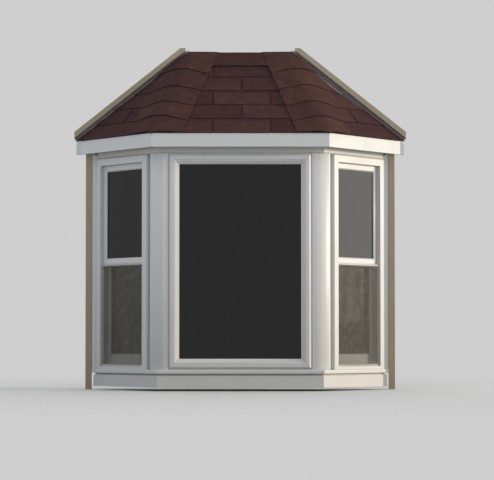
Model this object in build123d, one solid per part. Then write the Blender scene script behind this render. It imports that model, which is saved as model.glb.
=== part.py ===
from build123d import *
import os
from math import atan2, cos, radians, sin, tan

# A wall-hung bay window: a fixed centre light, two double-hung side lights at 45 degrees,
# a hipped shingle roof over a soffit, and a skirted seat platform under the units.
# Millimetres. Y = 0 is the wall's outer plane, outdoors is towards -Y, X runs to the right
# seen from outdoors. The origin is the middle of the wall cleat's back face.

# Plan of the bay: the units and posts set its width and how far it stands out
bay_angle = 45.0
return_out = 20.0
jamb_depth = 116.0
post_front_leg = 61.0
post_side_leg = 54.2

# Seat platform, from the cleat upwards
cleat_height = 56.0
cleat_depth = 38.0
rail_width = 38.0
bearer_width = 38.0
bearer_spacing = 330.0
panel_thickness = 9.0
panel_recess = 4.0
skirt_height = 61.0
skirt_thickness = 16.0
skirt_offset = -6.0
skirt_reveal = 6.0
seat_thickness = 22.0
seat_offset = 3.0
seat_round = 5.0

# Window units
unit_depth = 84.0
unit_height = 1112.0
centre_unit_width = 738.0
side_unit_width = 398.0
foot_height = 7.0
foot_set_back = 9.0
bevel_width = 15.0
bevel_drop = 10.0
centre_face_width = 33.0
bead_width = 23.0
bead_lip = 3.0
bead_drop = 15.0
bead_step = 4.0
glass_set_back = 26.0
glass_thickness = 22.0
glass_cover = 12.0
side_face_width = 34.0
side_sill_width = 16.0
side_head_width = 38.0
side_edge = 4.0

# Sashes and screens of the side units
upper_sash_set_back = 24.0
sash_depth = 26.0
sash_track_gap = 2.0
sash_stile = 26.0
sash_top_rail = 34.0
sash_bottom_rail = 56.0
sill_rise = 9.0
meeting_rail = 32.0
meeting_height = 552.0
sash_bead = 7.0
sash_glass_thickness = 14.0
sash_glass_cover = 8.0
sash_clearance = 0.3
screen_set_back = 11.0
screen_bar = 14.0
screen_bar_depth = 9.0
mesh_thickness = 1.0
lock_length = 58.0
lock_width = 20.0
lock_height = 5.0
lock_boss_radius = 9.0
lock_boss_height = 5.0
lock_lever_length = 30.0
lock_lever_width = 9.0
lock_lever_thickness = 3.0

# Posts at the corners and at the wall
post_set_back = 5.0
post_radius = 105.0
post_round_share = 0.95
groove_width = 23.0
groove_depth = 24.0
filler_set_back = 4.0
jamb_board = 19.0

# Head of the bay and eaves
head_thickness = 22.0
head_offset = -8.0
frieze_thickness = 9.0
frieze_gap = 3.0
frieze_stop = 10.0
soffit_thickness = 8.0
eave_offset = 60.0
frieze_showing = 26.0
fascia_height = 70.0
fascia_thickness = 16.0
soffit_lip = 6.0

# Roof
roof_rise = 13.5
roof_run = 12.0
sheathing_thickness = 12.0
rafter_thickness = 38.0
rafter_depth = 80.0
plate_width = 38.0
plate_height = 38.0
common_clearance = 3.0
ledger_height = 150.0
course_exposure = 109.5
full_courses = 5
shingle_butt = 7.0
shingle_tail = 3.0
shingle_overhang = 2.0
cap_width = 158.0
cap_exposure = 132.0
cap_butt = 10.0
cap_tail = 4.0
cap_round = 60.0
cap_top_rise = 13.5
strip_width = 104.0
strip_butt = 5.0
strip_tail = 5.0
strip_tuck = 60.0

# Trim where the bay meets the wall
channel_width = 33.0
channel_depth = 19.0
channel_wall = 2.0
channel_gap = 1.0
channel_below_skirt = 17.0
flashing_thickness = 1.2
flashing_showing = 12.0
flashing_tuck = 20.0
rake_channel_width = 26.0
rake_top_step = 9.0
rake_top_rise = 30.0
rake_foot_step = 11.0

# Places that follow from the sizes above
half_turn = tan(radians(bay_angle / 2))
flank_cos = cos(radians(bay_angle))
flank_sin = sin(radians(bay_angle))
pitch = roof_rise / roof_run
pitch_angle = atan2(roof_rise, roof_run)
corner_half = centre_unit_width / 2 + post_front_leg
side_face_length = side_unit_width + groove_width + post_side_leg
front_out = return_out + side_face_length * flank_sin
seat_bottom = cleat_height / 2
seat_top = seat_bottom + seat_thickness
panel_top = -cleat_height / 2
skirt_bottom = panel_top - panel_thickness - panel_recess
skirt_top = skirt_bottom + skirt_height
unit_top = seat_top + unit_height
meeting_bottom = seat_top + meeting_height
fascia_bottom = unit_top + frieze_showing
head_top = unit_top + head_thickness
soffit_bottom = fascia_bottom + soffit_lip
soffit_top = soffit_bottom + soffit_thickness
fascia_top = fascia_bottom + fascia_height
fascia_inner = eave_offset - fascia_thickness
eave_front = front_out + eave_offset
eave_half = corner_half + eave_offset * half_turn
ridge_half = eave_half - eave_front * half_turn
roof_length = eave_front / cos(pitch_angle)
roof_top = fascia_top + eave_front * pitch
far = 4000.0


def bay_corner(offset):
    """Half-width and depth of the bay's corner, at an offset outward from the units' faces."""
    return corner_half + offset * half_turn, front_out + offset


def flank_end(offset, depth):
    """Half-width at which a side face, at an offset, comes to a depth in front of the wall."""
    half, front = bay_corner(offset)
    return half + (front - depth) / tan(radians(bay_angle))


wall_end_half = flank_end(0, return_out)
opening_half = wall_end_half + return_out


def flank_point(offset, station):
    """Plan point on the right side face, at an offset and a distance from its wall end."""
    x = wall_end_half + offset * flank_sin - station * flank_cos
    y = -return_out - offset * flank_cos - station * flank_sin
    return x, y


def slab(points, bottom, top):
    """Flat board between two heights, with a plan outline."""
    return Pos(0, 0, bottom) * extrude(make_face(Polyline(*points, close=True)), amount=top - bottom)


def both_sides(points):
    """Closed outline from the points of its right half, front to back."""
    return points + [(-x, y) for x, y in reversed(points)]


def bay_board(offset, bottom, top, back):
    """Board that fills the whole bay in plan and runs back into the wall."""
    half, front = bay_corner(offset)
    end = flank_end(offset, return_out)
    edge = min(end + return_out, opening_half)
    outline = [(half, -front), (end, -return_out), (edge, -return_out), (edge, back)]
    return slab(both_sides(outline), bottom, top)


def front_board(outer, inner, bottom, top):
    """Front leg of a mitred board that follows the bay, between two offsets."""
    half_out, front_outer = bay_corner(outer)
    half_in, front_inner = bay_corner(inner)
    return slab(both_sides([(half_out, -front_outer), (half_in, -front_inner)]), bottom, top)


def side_board(outer, inner, bottom, top):
    """Right leg of a mitred board that follows the bay, turned to face front at the wall."""
    half_out, front_outer = bay_corner(outer)
    half_in, front_inner = bay_corner(inner)
    end = flank_end(outer, return_out)
    turn = [(end, -return_out), (end + return_out, -return_out), (end + return_out, 0)]
    points = [(half_in, -front_inner), (half_out, -front_outer)] + turn + [(flank_end(inner, 0), 0)]
    return slab(points, bottom, top)


def bay_band(outer, inner, bottom, top, depth=0.0):
    """One board that follows the bay on all three sides, from wall to wall or short of it."""
    half_out, front_outer = bay_corner(outer)
    half_in, front_inner = bay_corner(inner)
    outline = [(half_out, -front_outer), (flank_end(outer, depth), -depth), (flank_end(inner, depth), -depth)]
    outline += [(half_in, -front_inner)]
    return slab(both_sides(outline), bottom, top)


def mirrored(shape):
    """The left-hand twin of a right-hand piece."""
    return mirror(shape, about=Plane.YZ)


def upright(left, right, front, back, bottom, top):
    """Upright block between two sides, two depths and two heights."""
    return slab([(left, front), (right, front), (right, back), (left, back)], bottom, top)


def ring(half, bottom, top, section):
    """Frame mitred at its four corners, from a section of inward and depth measures."""
    path = Polyline(
        (0, 0, bottom), (half, 0, bottom), (half, 0, top), (-half, 0, top), (-half, 0, bottom), (0, 0, bottom)
    )
    profile = make_face(Polyline(*[(0, depth, bottom + inward) for inward, depth in section], close=True))
    return sweep(profile, path=path, transition=Transition.RIGHT)


def splayed_hole(half, bottom, top, front, back, splay):
    """Cutter for a daylight opening whose front edges are bevelled all round."""
    middle = (bottom + top) / 2
    height = top - bottom
    wide = Plane((0, front, middle), x_dir=(1, 0, 0), z_dir=(0, -1, 0))
    narrow = Plane((0, front + splay, middle), x_dir=(1, 0, 0), z_dir=(0, -1, 0))
    mouth_edge = wide * Rectangle(2 * (half + splay), height + 2 * splay)
    mouth = loft([mouth_edge, narrow * Rectangle(2 * half, height)])
    return mouth + upright(-half, half, front + splay, back, bottom, top)


def sash(bottom, top, front, top_rail, bottom_rail):
    """One sash and its pane, on the centre line of a side unit."""
    half = side_unit_width / 2 - side_face_width - sash_clearance
    light = half - sash_stile
    low = bottom + bottom_rail
    high = top - top_rail
    back = front + sash_depth
    pane_front = front + (sash_depth - sash_glass_thickness) / 2
    pane_back = pane_front + sash_glass_thickness
    reach = sash_glass_cover
    pane = upright(-light - reach, light + reach, pane_front, pane_back, low - reach, high + reach)
    frame = upright(-half, half, front, back, bottom, top)
    frame -= splayed_hole(light, low, high, front, back, sash_bead)
    frame -= pane
    return frame, pane


side_place = Pos(*flank_point(0, side_unit_width / 2), 0) * Rot(0, 0, bay_angle)
centre_place = Pos(0, -front_out, 0)
parts = {}


def pair(name, shape):
    """Adds a right-hand piece and its left-hand twin as two nodes."""
    parts[name + "_right"] = shape
    parts[name + "_left"] = mirrored(shape)


def twins(name, *shapes):
    """Adds right-hand pieces and their left-hand twins as one node."""
    solids = []
    for shape in shapes:
        solids += [*shape.solids(), *mirrored(shape).solids()]
    parts[name] = Compound(children=solids)


# Seat platform: cleat on the wall, rails behind the skirt, bearers between them
rail_outer = skirt_offset - skirt_thickness
rail_inner = rail_outer - rail_width
cleat_front = [(flank_end(rail_outer, cleat_depth), -cleat_depth), (flank_end(rail_outer, 0), 0)]
wall_cleat = slab(both_sides(cleat_front), panel_top, seat_bottom)
rails = bay_band(rail_outer, rail_inner, panel_top, seat_bottom, cleat_depth)
rail_back = -bay_corner(rail_inner)[1]
for place in (-bearer_spacing / 2, bearer_spacing / 2):
    rails += upright(
        place - bearer_width / 2, place + bearer_width / 2, rail_back, -cleat_depth, panel_top, seat_bottom
    )
panel_half, panel_front = bay_corner(rail_outer)
panel_outline = both_sides([(panel_half, -panel_front), (flank_end(rail_outer, 0), 0)])
parts["wall_cleat"] = wall_cleat
parts["platform_rails"] = rails
parts["underside_panel"] = slab(panel_outline, panel_top - panel_thickness, panel_top)
skirt_tongue = skirt_offset - skirt_reveal
skirt_front = front_board(skirt_offset, rail_outer, skirt_bottom, skirt_top)
side_skirt = side_board(skirt_offset, rail_outer, skirt_bottom, skirt_top)
parts["skirt_front"] = skirt_front + front_board(skirt_tongue, rail_outer, skirt_top, seat_bottom)
pair("skirt", side_skirt + side_board(skirt_tongue, rail_outer, skirt_top, seat_bottom))
seat_board = bay_board(seat_offset, seat_bottom, seat_top, jamb_depth)
level_edges = seat_board.edges().filter_by(Plane.XY)
nose_edges = [edge for edge in level_edges if edge.center().Y < -return_out - seat_round]
parts["seat_board"] = fillet(nose_edges, seat_round)

# Centre light: mitred frame, glazing bead and sealed pane
centre_half = centre_unit_width / 2
sight = centre_face_width + bead_width
glass_back = glass_set_back + glass_thickness
frame_section = [(0, bevel_drop), (bevel_width, 0), (centre_face_width, 0), (centre_face_width, glass_back)]
frame_section += [(sight, glass_back), (sight, unit_depth), (0, unit_depth)]
bead_middle = centre_face_width + bead_width / 2
bead_section = [(centre_face_width, bead_lip), (bead_middle, (bead_lip + bead_drop) / 2)]
bead_section += [(bead_middle, (bead_lip + bead_drop) / 2 + bead_step), (sight, bead_drop + bead_step)]
bead_section += [(sight, glass_set_back), (centre_face_width, glass_set_back)]
foot = upright(-centre_half, centre_half, 0, foot_set_back, seat_top, seat_top + foot_height)
centre_frame = ring(centre_half, seat_top, unit_top, frame_section) - foot
centre_bead = ring(centre_half, seat_top, unit_top, bead_section)
pane_edge = sight - glass_cover
centre_glass = upright(
    -centre_half + pane_edge,
    centre_half - pane_edge,
    glass_set_back,
    glass_back,
    seat_top + pane_edge,
    unit_top - pane_edge,
)
parts["centre_frame"] = centre_place * centre_frame
parts["centre_bead"] = centre_place * centre_bead
parts["centre_glass"] = centre_place * centre_glass

# Side lights: frame, two sashes, half screen and sash lock
side_half = side_unit_width / 2
opening_side = side_half - side_face_width
opening_low = seat_top + side_sill_width
opening_high = unit_top - side_head_width
side_frame = upright(-side_half, side_half, 0, unit_depth, seat_top, unit_top)
side_frame -= upright(-opening_side, opening_side, 0, unit_depth, opening_low, opening_high)
front_edges = side_frame.edges().filter_by_position(Axis.Y, 0, 0)
jamb_edges = front_edges.filter_by(Axis.Z).sort_by(Axis.X)
head_edge = front_edges.filter_by(Axis.X).sort_by(Axis.Z)[-1]
side_frame = chamfer([jamb_edges[0], jamb_edges[-1], head_edge], side_edge)
lower_sash_set_back = upper_sash_set_back + sash_depth + sash_track_gap
screen_back = screen_set_back + screen_bar_depth
sill_top = opening_low + sill_rise
sill_slope = [(screen_back, opening_low), (lower_sash_set_back, sill_top), (unit_depth, sill_top)]
sill_slope += [(unit_depth, opening_low)]
sill_face = Plane.YZ * make_face(Polyline(*sill_slope, close=True))
side_frame += extrude(sill_face, amount=opening_side, both=True)
meeting_top = meeting_bottom + meeting_rail
upper_sash, upper_pane = sash(
    meeting_bottom, opening_high - sash_clearance, upper_sash_set_back, sash_top_rail, meeting_rail
)
lower_sash, lower_pane = sash(
    sill_top + sash_clearance, meeting_top, lower_sash_set_back, meeting_rail, sash_bottom_rail
)
screen_half = opening_side - sash_clearance
screen_low = opening_low + sash_clearance
screen_high = meeting_bottom - sash_clearance
mesh_front = screen_set_back + (screen_bar_depth - mesh_thickness) / 2
screen_frame = upright(-screen_half, screen_half, screen_set_back, screen_back, screen_low, screen_high)
screen_frame -= upright(
    -screen_half + screen_bar,
    screen_half - screen_bar,
    screen_set_back,
    screen_back,
    screen_low + screen_bar,
    screen_high - screen_bar,
)
screen_mesh = upright(
    -screen_half + screen_bar,
    screen_half - screen_bar,
    mesh_front,
    mesh_front + mesh_thickness,
    screen_low + screen_bar,
    screen_high - screen_bar,
)
lock_middle = lower_sash_set_back + sash_depth / 2
lock_base = extrude(SlotOverall(lock_length, lock_width), amount=lock_height)
lock_boss = Pos(0, 0, lock_height) * extrude(Circle(lock_boss_radius), amount=lock_boss_height)
lock_boss = fillet(lock_boss.edges().group_by(Axis.Z)[-1], lock_boss_height / 2)
lever_plan = Pos(lock_lever_length / 2, 0) * SlotOverall(lock_lever_length, lock_lever_width)
lock_lever = Pos(0, 0, lock_height) * extrude(lever_plan, amount=lock_lever_thickness)
sash_lock = Pos(0, lock_middle, meeting_top) * (lock_base + lock_boss + lock_lever)
pair("side_frame", side_place * side_frame)
pair("upper_sash", side_place * upper_sash)
pair("lower_sash", side_place * lower_sash)
pair("screen_frame", side_place * screen_frame)
twins("sash_glass", side_place * upper_pane, side_place * lower_pane)
twins("screen_mesh", side_place * screen_mesh)
twins("sash_locks", side_place * sash_lock)

# Corner posts between the lights, round in front, with a groove beside each side light
post_face = -post_set_back
post_edge = side_unit_width + groove_width
nose_half, nose_front = bay_corner(post_face)
inner_half, inner_front = bay_corner(-unit_depth)
post_outline = [(centre_half, -nose_front), (nose_half, -nose_front), flank_point(post_face, post_edge)]
post_outline += [flank_point(-groove_depth, post_edge), flank_point(-groove_depth, side_unit_width)]
post_outline += [flank_point(-unit_depth, side_unit_width), (inner_half, -inner_front)]
post_outline += [(centre_half, -inner_front)]
post_plan = make_face(Polyline(*post_outline, close=True))
nose = post_plan.vertices().sort_by_distance((nose_half, -nose_front, 0))[0]
post_leg = min(nose_half - centre_half, side_face_length - post_edge)
post_plan = fillet(nose, min(post_radius, post_leg / half_turn * post_round_share))
twins("corner_posts", Pos(0, 0, seat_top) * extrude(post_plan, amount=unit_height))

# Posts that square the side lights to the wall, and the jamb boards through it
inner_end = flank_point(-unit_depth, 0)
filler_front = -return_out + filler_set_back
filler_outline = [(wall_end_half - filler_set_back, filler_front), (opening_half, filler_front)]
filler_outline += [(opening_half, inner_end[1]), inner_end]
head_space = bay_board(head_offset, unit_top, soffit_bottom, jamb_depth)
twins("wall_posts", slab(filler_outline, seat_top, soffit_bottom) - head_space)
jamb = upright(inner_end[0], inner_end[0] + jamb_board, inner_end[1], jamb_depth, seat_top, unit_top)
twins("jamb_boards", jamb)

# Head board, frieze, soffit and fascia
parts["head_board"] = bay_board(head_offset, unit_top, head_top, jamb_depth)
frieze_outer = head_offset + frieze_thickness
parts["frieze"] = bay_band(
    frieze_outer, head_offset, unit_top + frieze_gap, soffit_bottom, return_out + frieze_stop
)
parts["soffit"] = bay_band(fascia_inner, head_offset, soffit_bottom, soffit_top)
parts["fascia_front"] = front_board(eave_offset, fascia_inner, fascia_bottom, fascia_top)
side_fascia = side_board(eave_offset, fascia_inner, fascia_bottom, fascia_top)

# Roof planes: the sheathing's upper face passes through the fascia's outer top edge
front_normal = Vector(0, -sin(pitch_angle), cos(pitch_angle))
side_normal = Vector(sin(pitch_angle) * flank_sin, -sin(pitch_angle) * flank_cos, cos(pitch_angle))
left_normal = Vector(-side_normal.X, side_normal.Y, side_normal.Z)
eave_corner = Vector(eave_half, -eave_front, fascia_top)
ridge_corner = Vector(ridge_half, 0, roof_top)
hip_line = (ridge_corner - eave_corner).normalized()
hip_plane = Plane(eave_corner, z_dir=(1, half_turn, 0))
left_hip_plane = Plane((-eave_half, -eave_front, fascia_top), z_dir=(-1, half_turn, 0))


def under_roof(shape, lift):
    """What lies under the three roof planes, raised square to themselves by a lift."""
    for normal, sign in ((front_normal, 1), (side_normal, 1), (left_normal, -1)):
        origin = Vector(sign * eave_half, -eave_front, fascia_top) + normal * lift
        shape = split(shape, bisect_by=Plane(origin, z_dir=normal), keep=Keep.BOTTOM)
    return shape


def bay_block(offset, bottom, top=roof_top + far):
    """Block over the whole bay in plan, between two heights or up past the roof."""
    half, front = bay_corner(offset)
    return slab(both_sides([(half, -front), (flank_end(offset, 0), 0)]), bottom, top)


# The fascia's turned end is bevelled under the roof's edge
pair("fascia", under_roof(side_fascia, 0))

# Sheathing: three boards mitred along the hips, let in behind the fascia
roof_block = bay_block(fascia_inner, soffit_top)
under_sheathing = under_roof(roof_block, -sheathing_thickness)
sheathing = under_roof(roof_block, 0) - under_sheathing
side_sheathing = split(sheathing, bisect_by=hip_plane, keep=Keep.TOP)
front_sheathing = split(sheathing, bisect_by=hip_plane, keep=Keep.BOTTOM)
front_sheathing = split(front_sheathing, bisect_by=left_hip_plane, keep=Keep.BOTTOM)
parts["sheathing_front"] = front_sheathing
twins("sheathing_sides", side_sheathing)

# Roof frame: plate on the head board, ledger on the wall, rafters between them
plate_inner = head_offset - plate_width
roof_plate = bay_band(head_offset, plate_inner, head_top, head_top + plate_height)
under_rafters = under_roof(bay_block(eave_offset, 0), -sheathing_thickness - rafter_depth)
deck = under_sheathing - under_rafters - roof_plate
ledger_bottom = roof_top - ledger_height
ledger = under_sheathing & upright(-ridge_half, ridge_half, -rafter_thickness, 0, ledger_bottom, roof_top)
rafter_half = rafter_thickness / 2
hip_rafter_reach = rafter_half / cos(radians(bay_angle / 2))
outer_common = ridge_half - hip_rafter_reach - rafter_half - common_clearance
commons = []
for place in (-outer_common, 0, outer_common):
    strip = upright(place - rafter_half, place + rafter_half, -far, 0, soffit_top, roof_top)
    commons += ((deck & strip) - ledger).solids()
wall_strip = upright(ridge_half, far, -rafter_thickness, 0, soffit_top, roof_top)
wall_rafter = deck & wall_strip
hip_turn = 90 + bay_angle / 2
hip_strip = Pos(eave_half, -eave_front, 0) * Rot(0, 0, hip_turn) * upright(
    -far, far, -rafter_half, rafter_half, soffit_top, roof_top
)
hip_rafter = (deck & hip_strip) - ledger - wall_rafter
jack_start = ((eave_half + flank_end(eave_offset, 0)) / 2, -eave_front / 2, 0)
jack_strip = Pos(*jack_start) * Rot(0, 0, 90 + bay_angle) * upright(
    -far, far, -rafter_half, rafter_half, soffit_top, roof_top
)
jack_rafter = (deck & jack_strip) - wall_rafter
parts["roof_plate"] = roof_plate
parts["roof_ledger"] = ledger
parts["common_rafters"] = Compound(children=commons)
twins("hip_rafters", hip_rafter)
twins("jack_rafters", jack_rafter)
twins("wall_rafters", wall_rafter)

# Shingles: each course lies on the one below, so the section steps at every butt
last_butt = -shingle_overhang + course_exposure * (full_courses - 1)
course_section = [(-shingle_overhang, 0)]
for course in range(full_courses):
    butt = -shingle_overhang + course * course_exposure
    tail = butt + course_exposure if course < full_courses - 1 else roof_length + shingle_butt
    course_section += [(butt, shingle_butt), (tail, shingle_tail)]
course_section += [(roof_length + shingle_butt, 0)]
strip_start = roof_length - strip_width


def course_height(along):
    """Height of the last course's face above the sheathing, at a distance up the slope."""
    share = (along - last_butt) / (roof_length + shingle_butt - last_butt)
    return shingle_butt + (shingle_tail - shingle_butt) * share


strip_low = course_height(strip_start)
strip_end = roof_length + shingle_butt
strip_section = [(strip_start, strip_low), (strip_start, strip_low + strip_butt)]
strip_section += [(strip_end, shingle_tail + strip_tail), (strip_end, shingle_tail)]


def on_slope(section, turn, back):
    """Runs a section of up-slope and outward measures along an eave, front or turned, to y = back."""
    slope = Plane((0, 0, 0), x_dir=(0, cos(pitch_angle), sin(pitch_angle)), z_dir=(1, 0, 0))
    bar = extrude(slope * make_face(Polyline(*section, close=True)), amount=far, both=True)
    bar = Pos(eave_half, -eave_front, fascia_top) * Rot(0, 0, turn) * bar
    return split(bar, bisect_by=Plane((0, back, 0), z_dir=(0, 1, 0)), keep=Keep.BOTTOM)


def between_hips(shape):
    """The stretch of a front piece between the two hips."""
    shape = split(shape, bisect_by=hip_plane, keep=Keep.BOTTOM)
    return split(shape, bisect_by=left_hip_plane, keep=Keep.BOTTOM)


parts["shingles_front"] = between_hips(on_slope(course_section, 0, -flashing_thickness))
side_shingles = on_slope(course_section, bay_angle, -flashing_thickness)
pair("shingles", split(side_shingles, bisect_by=hip_plane, keep=Keep.TOP))

# Hip caps: folded over each hip, every cap lapping the one below
apex = (front_normal + side_normal) / (1 + front_normal.dot(side_normal))
to_front = front_normal.cross(hip_line).normalized()
to_side = hip_line.cross(side_normal).normalized()


def cap_section(along, rise):
    """Folded section of a cap, square to the hip, at a distance up it."""
    base = eave_corner + hip_line * along
    low = base + apex * shingle_butt
    high = base + apex * (shingle_butt + rise)
    outline = [low + to_front * cap_width, low, low + to_side * cap_width]
    outline += [high + to_side * cap_width, high, high + to_front * cap_width]
    section = make_face(Polyline(*outline, close=True))
    fold = section.vertices().sort_by_distance(high)[0]
    return section.face().fillet_2d(cap_round, [fold])


hip_length = (ridge_corner - eave_corner).length
cap_count = int(hip_length / cap_exposure) + 1
cap_starts = [-cap_width] + [number * cap_exposure for number in range(1, cap_count)]
cap_starts += [hip_length + cap_width]
caps = None
for start, stop in zip(cap_starts, cap_starts[1:]):
    cap = loft([cap_section(start, cap_butt), cap_section(stop, cap_tail)], ruled=True)
    caps = cap if caps is None else caps + cap
flashing_plane = Plane((0, -flashing_thickness, 0), z_dir=(0, 1, 0))
hip_caps = split(caps, bisect_by=flashing_plane, keep=Keep.BOTTOM)
eave_edge = eave_offset + shingle_overhang * cos(pitch_angle) + shingle_butt * sin(pitch_angle)
hip_caps = hip_caps & bay_block(eave_edge, 0, roof_top + cap_top_rise)
strip_stop = eave_corner + to_front * (cap_width - strip_tuck)
ridge_strip = on_slope(strip_section, 0, -flashing_thickness)
for sign in (1, -1):
    stop_plane = Plane((sign * strip_stop.X, strip_stop.Y, strip_stop.Z), z_dir=(sign, half_turn, 0))
    ridge_strip = split(ridge_strip, bisect_by=stop_plane, keep=Keep.BOTTOM)
twins("hip_caps", hip_caps)
parts["ridge_strip"] = ridge_strip - hip_caps - mirrored(hip_caps)

# Step flashing and siding channels along the rakes and down both sides
rake_foot = Vector(flank_end(eave_offset, 0), 0, fascia_top)
rake_line = (ridge_corner - rake_foot).normalized()
rake_up = Vector(rake_line.Z, 0, -rake_line.X)
rake_length = (ridge_corner - rake_foot).length
surface_up = shingle_butt / cos(pitch_angle) * abs(rake_line.X)


def on_rake(section, start, stop):
    """Bar along the rake from a section of upward and outward measures in the wall plane."""
    foot = rake_foot + rake_line * start
    outline = [foot + rake_up * up + Vector(0, -out, 0) for up, out in section]
    return extrude(make_face(Polyline(*outline, close=True)), amount=stop - start, dir=rake_line)


def channel_section(low, width, back):
    """Siding channel: a pocket open away from the bay, behind a plain face."""
    web = low + channel_wall
    lip = low + width
    face = back + channel_depth
    outline = [(low, back), (lip, back), (lip, back + channel_wall), (web, back + channel_wall)]
    return outline + [(web, face - channel_wall), (lip, face - channel_wall), (lip, face), (low, face)]


upstand_top = surface_up + flashing_showing + flashing_tuck
upstand = [(0, 0), (upstand_top, 0), (upstand_top, flashing_thickness), (0, flashing_thickness)]
rake_top = roof_top + rake_top_rise
rake_stretch = upright(ridge_half + rake_top_step, rake_foot.X + rake_foot_step, -far, far, 0, rake_top)
twins("step_flashings", on_rake(upstand, 0, rake_length) & rake_stretch)
rake_section = channel_section(surface_up + flashing_showing, rake_channel_width, flashing_thickness)
twins("rake_channels", on_rake(rake_section, -rake_length, 2 * rake_length) & rake_stretch)
side_section = channel_section(opening_half + channel_gap, channel_width, 0)
side_channel = slab([(x, -out) for x, out in side_section], skirt_bottom - channel_below_skirt, soffit_bottom)
twins("side_channels", side_channel)

os.makedirs("parts", exist_ok=True)
for name, shape in parts.items():
    export_step(shape, "parts/" + name + ".step")
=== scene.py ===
"""Looks of a wall-hung bay window with a hipped shingle roof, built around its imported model.

Metres, +Z up. The wall's outer plane is y = 0 and outdoors is towards -Y. Every size comes from
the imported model, or is a named size of something finer than the model holds.
"""

import logging
from dataclasses import dataclass, field, replace
from enum import Enum
from functools import cached_property
from math import atan2, cos, radians, sin, tan
from random import Random

import bmesh
import bpy
from mathutils import Matrix, Vector


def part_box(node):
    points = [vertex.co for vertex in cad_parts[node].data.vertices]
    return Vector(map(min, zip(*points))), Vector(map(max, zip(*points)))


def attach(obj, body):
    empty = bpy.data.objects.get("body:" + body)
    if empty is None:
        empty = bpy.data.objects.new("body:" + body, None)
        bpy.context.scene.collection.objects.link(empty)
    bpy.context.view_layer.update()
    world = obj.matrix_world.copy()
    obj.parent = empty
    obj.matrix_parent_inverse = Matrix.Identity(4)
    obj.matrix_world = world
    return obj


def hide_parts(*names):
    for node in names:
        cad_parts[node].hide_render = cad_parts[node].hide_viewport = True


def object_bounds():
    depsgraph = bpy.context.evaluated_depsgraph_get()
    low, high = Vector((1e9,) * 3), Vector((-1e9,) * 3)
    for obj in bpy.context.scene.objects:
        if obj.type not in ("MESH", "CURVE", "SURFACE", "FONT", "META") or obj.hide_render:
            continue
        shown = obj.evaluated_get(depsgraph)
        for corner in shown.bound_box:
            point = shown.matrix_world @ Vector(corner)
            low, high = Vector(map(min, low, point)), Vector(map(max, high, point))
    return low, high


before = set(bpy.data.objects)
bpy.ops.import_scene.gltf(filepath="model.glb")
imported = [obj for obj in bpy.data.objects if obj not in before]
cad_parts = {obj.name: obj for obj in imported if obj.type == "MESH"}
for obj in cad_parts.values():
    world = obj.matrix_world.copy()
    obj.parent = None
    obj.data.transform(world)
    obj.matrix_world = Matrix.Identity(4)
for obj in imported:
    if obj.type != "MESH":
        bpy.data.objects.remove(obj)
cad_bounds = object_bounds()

log = logging.getLogger("bay_window")

BAY_TURN = radians(45)
ARRIS_ANGLE = radians(35)
WELD = 1e-5
CUT_SLACK = 1e-7
CUT_TONE = 0.3
PLAIN_TONE = 0.5
MILLIMETRE = 0.001
X_AXIS = Vector((1, 0, 0))
Y_AXIS = Vector((0, 1, 0))
Z_AXIS = Vector((0, 0, 1))

Colour = tuple[float, float, float]
Triple = tuple[float, float, float]
Socket = bpy.types.NodeSocket
Number = float | Socket
CutPlane = tuple[Vector, Vector]
PointPair = tuple[Vector, Vector]
Ring = list[bmesh.types.BMVert]


class Facing(Enum):
    """Which way a face of the bay looks."""

    FRONT = 0
    RIGHT = 1
    LEFT = -1

    @property
    def turn(self) -> Matrix:
        """Rotation from the front face's axes to this face's own axes."""
        return Matrix.Rotation(self.value * BAY_TURN, 3, "Z")

    @property
    def label(self) -> str:
        """Word that ends the names of this face's pieces."""
        return self.name.lower()


class Grain(Enum):
    """Direction in which the fibres of a timber run, that of the right-hand piece where they slope."""

    ACROSS = (1.0, 0.0, 0.0)
    UPRIGHT = (0.0, 0.0, 1.0)
    COMMON = (0.0, 0.66, 0.75)
    HIP = (-0.27, 0.64, 0.72)
    JACK = (-0.47, 0.47, 0.75)
    RAKE = (-0.78, 0.0, 0.62)


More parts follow.
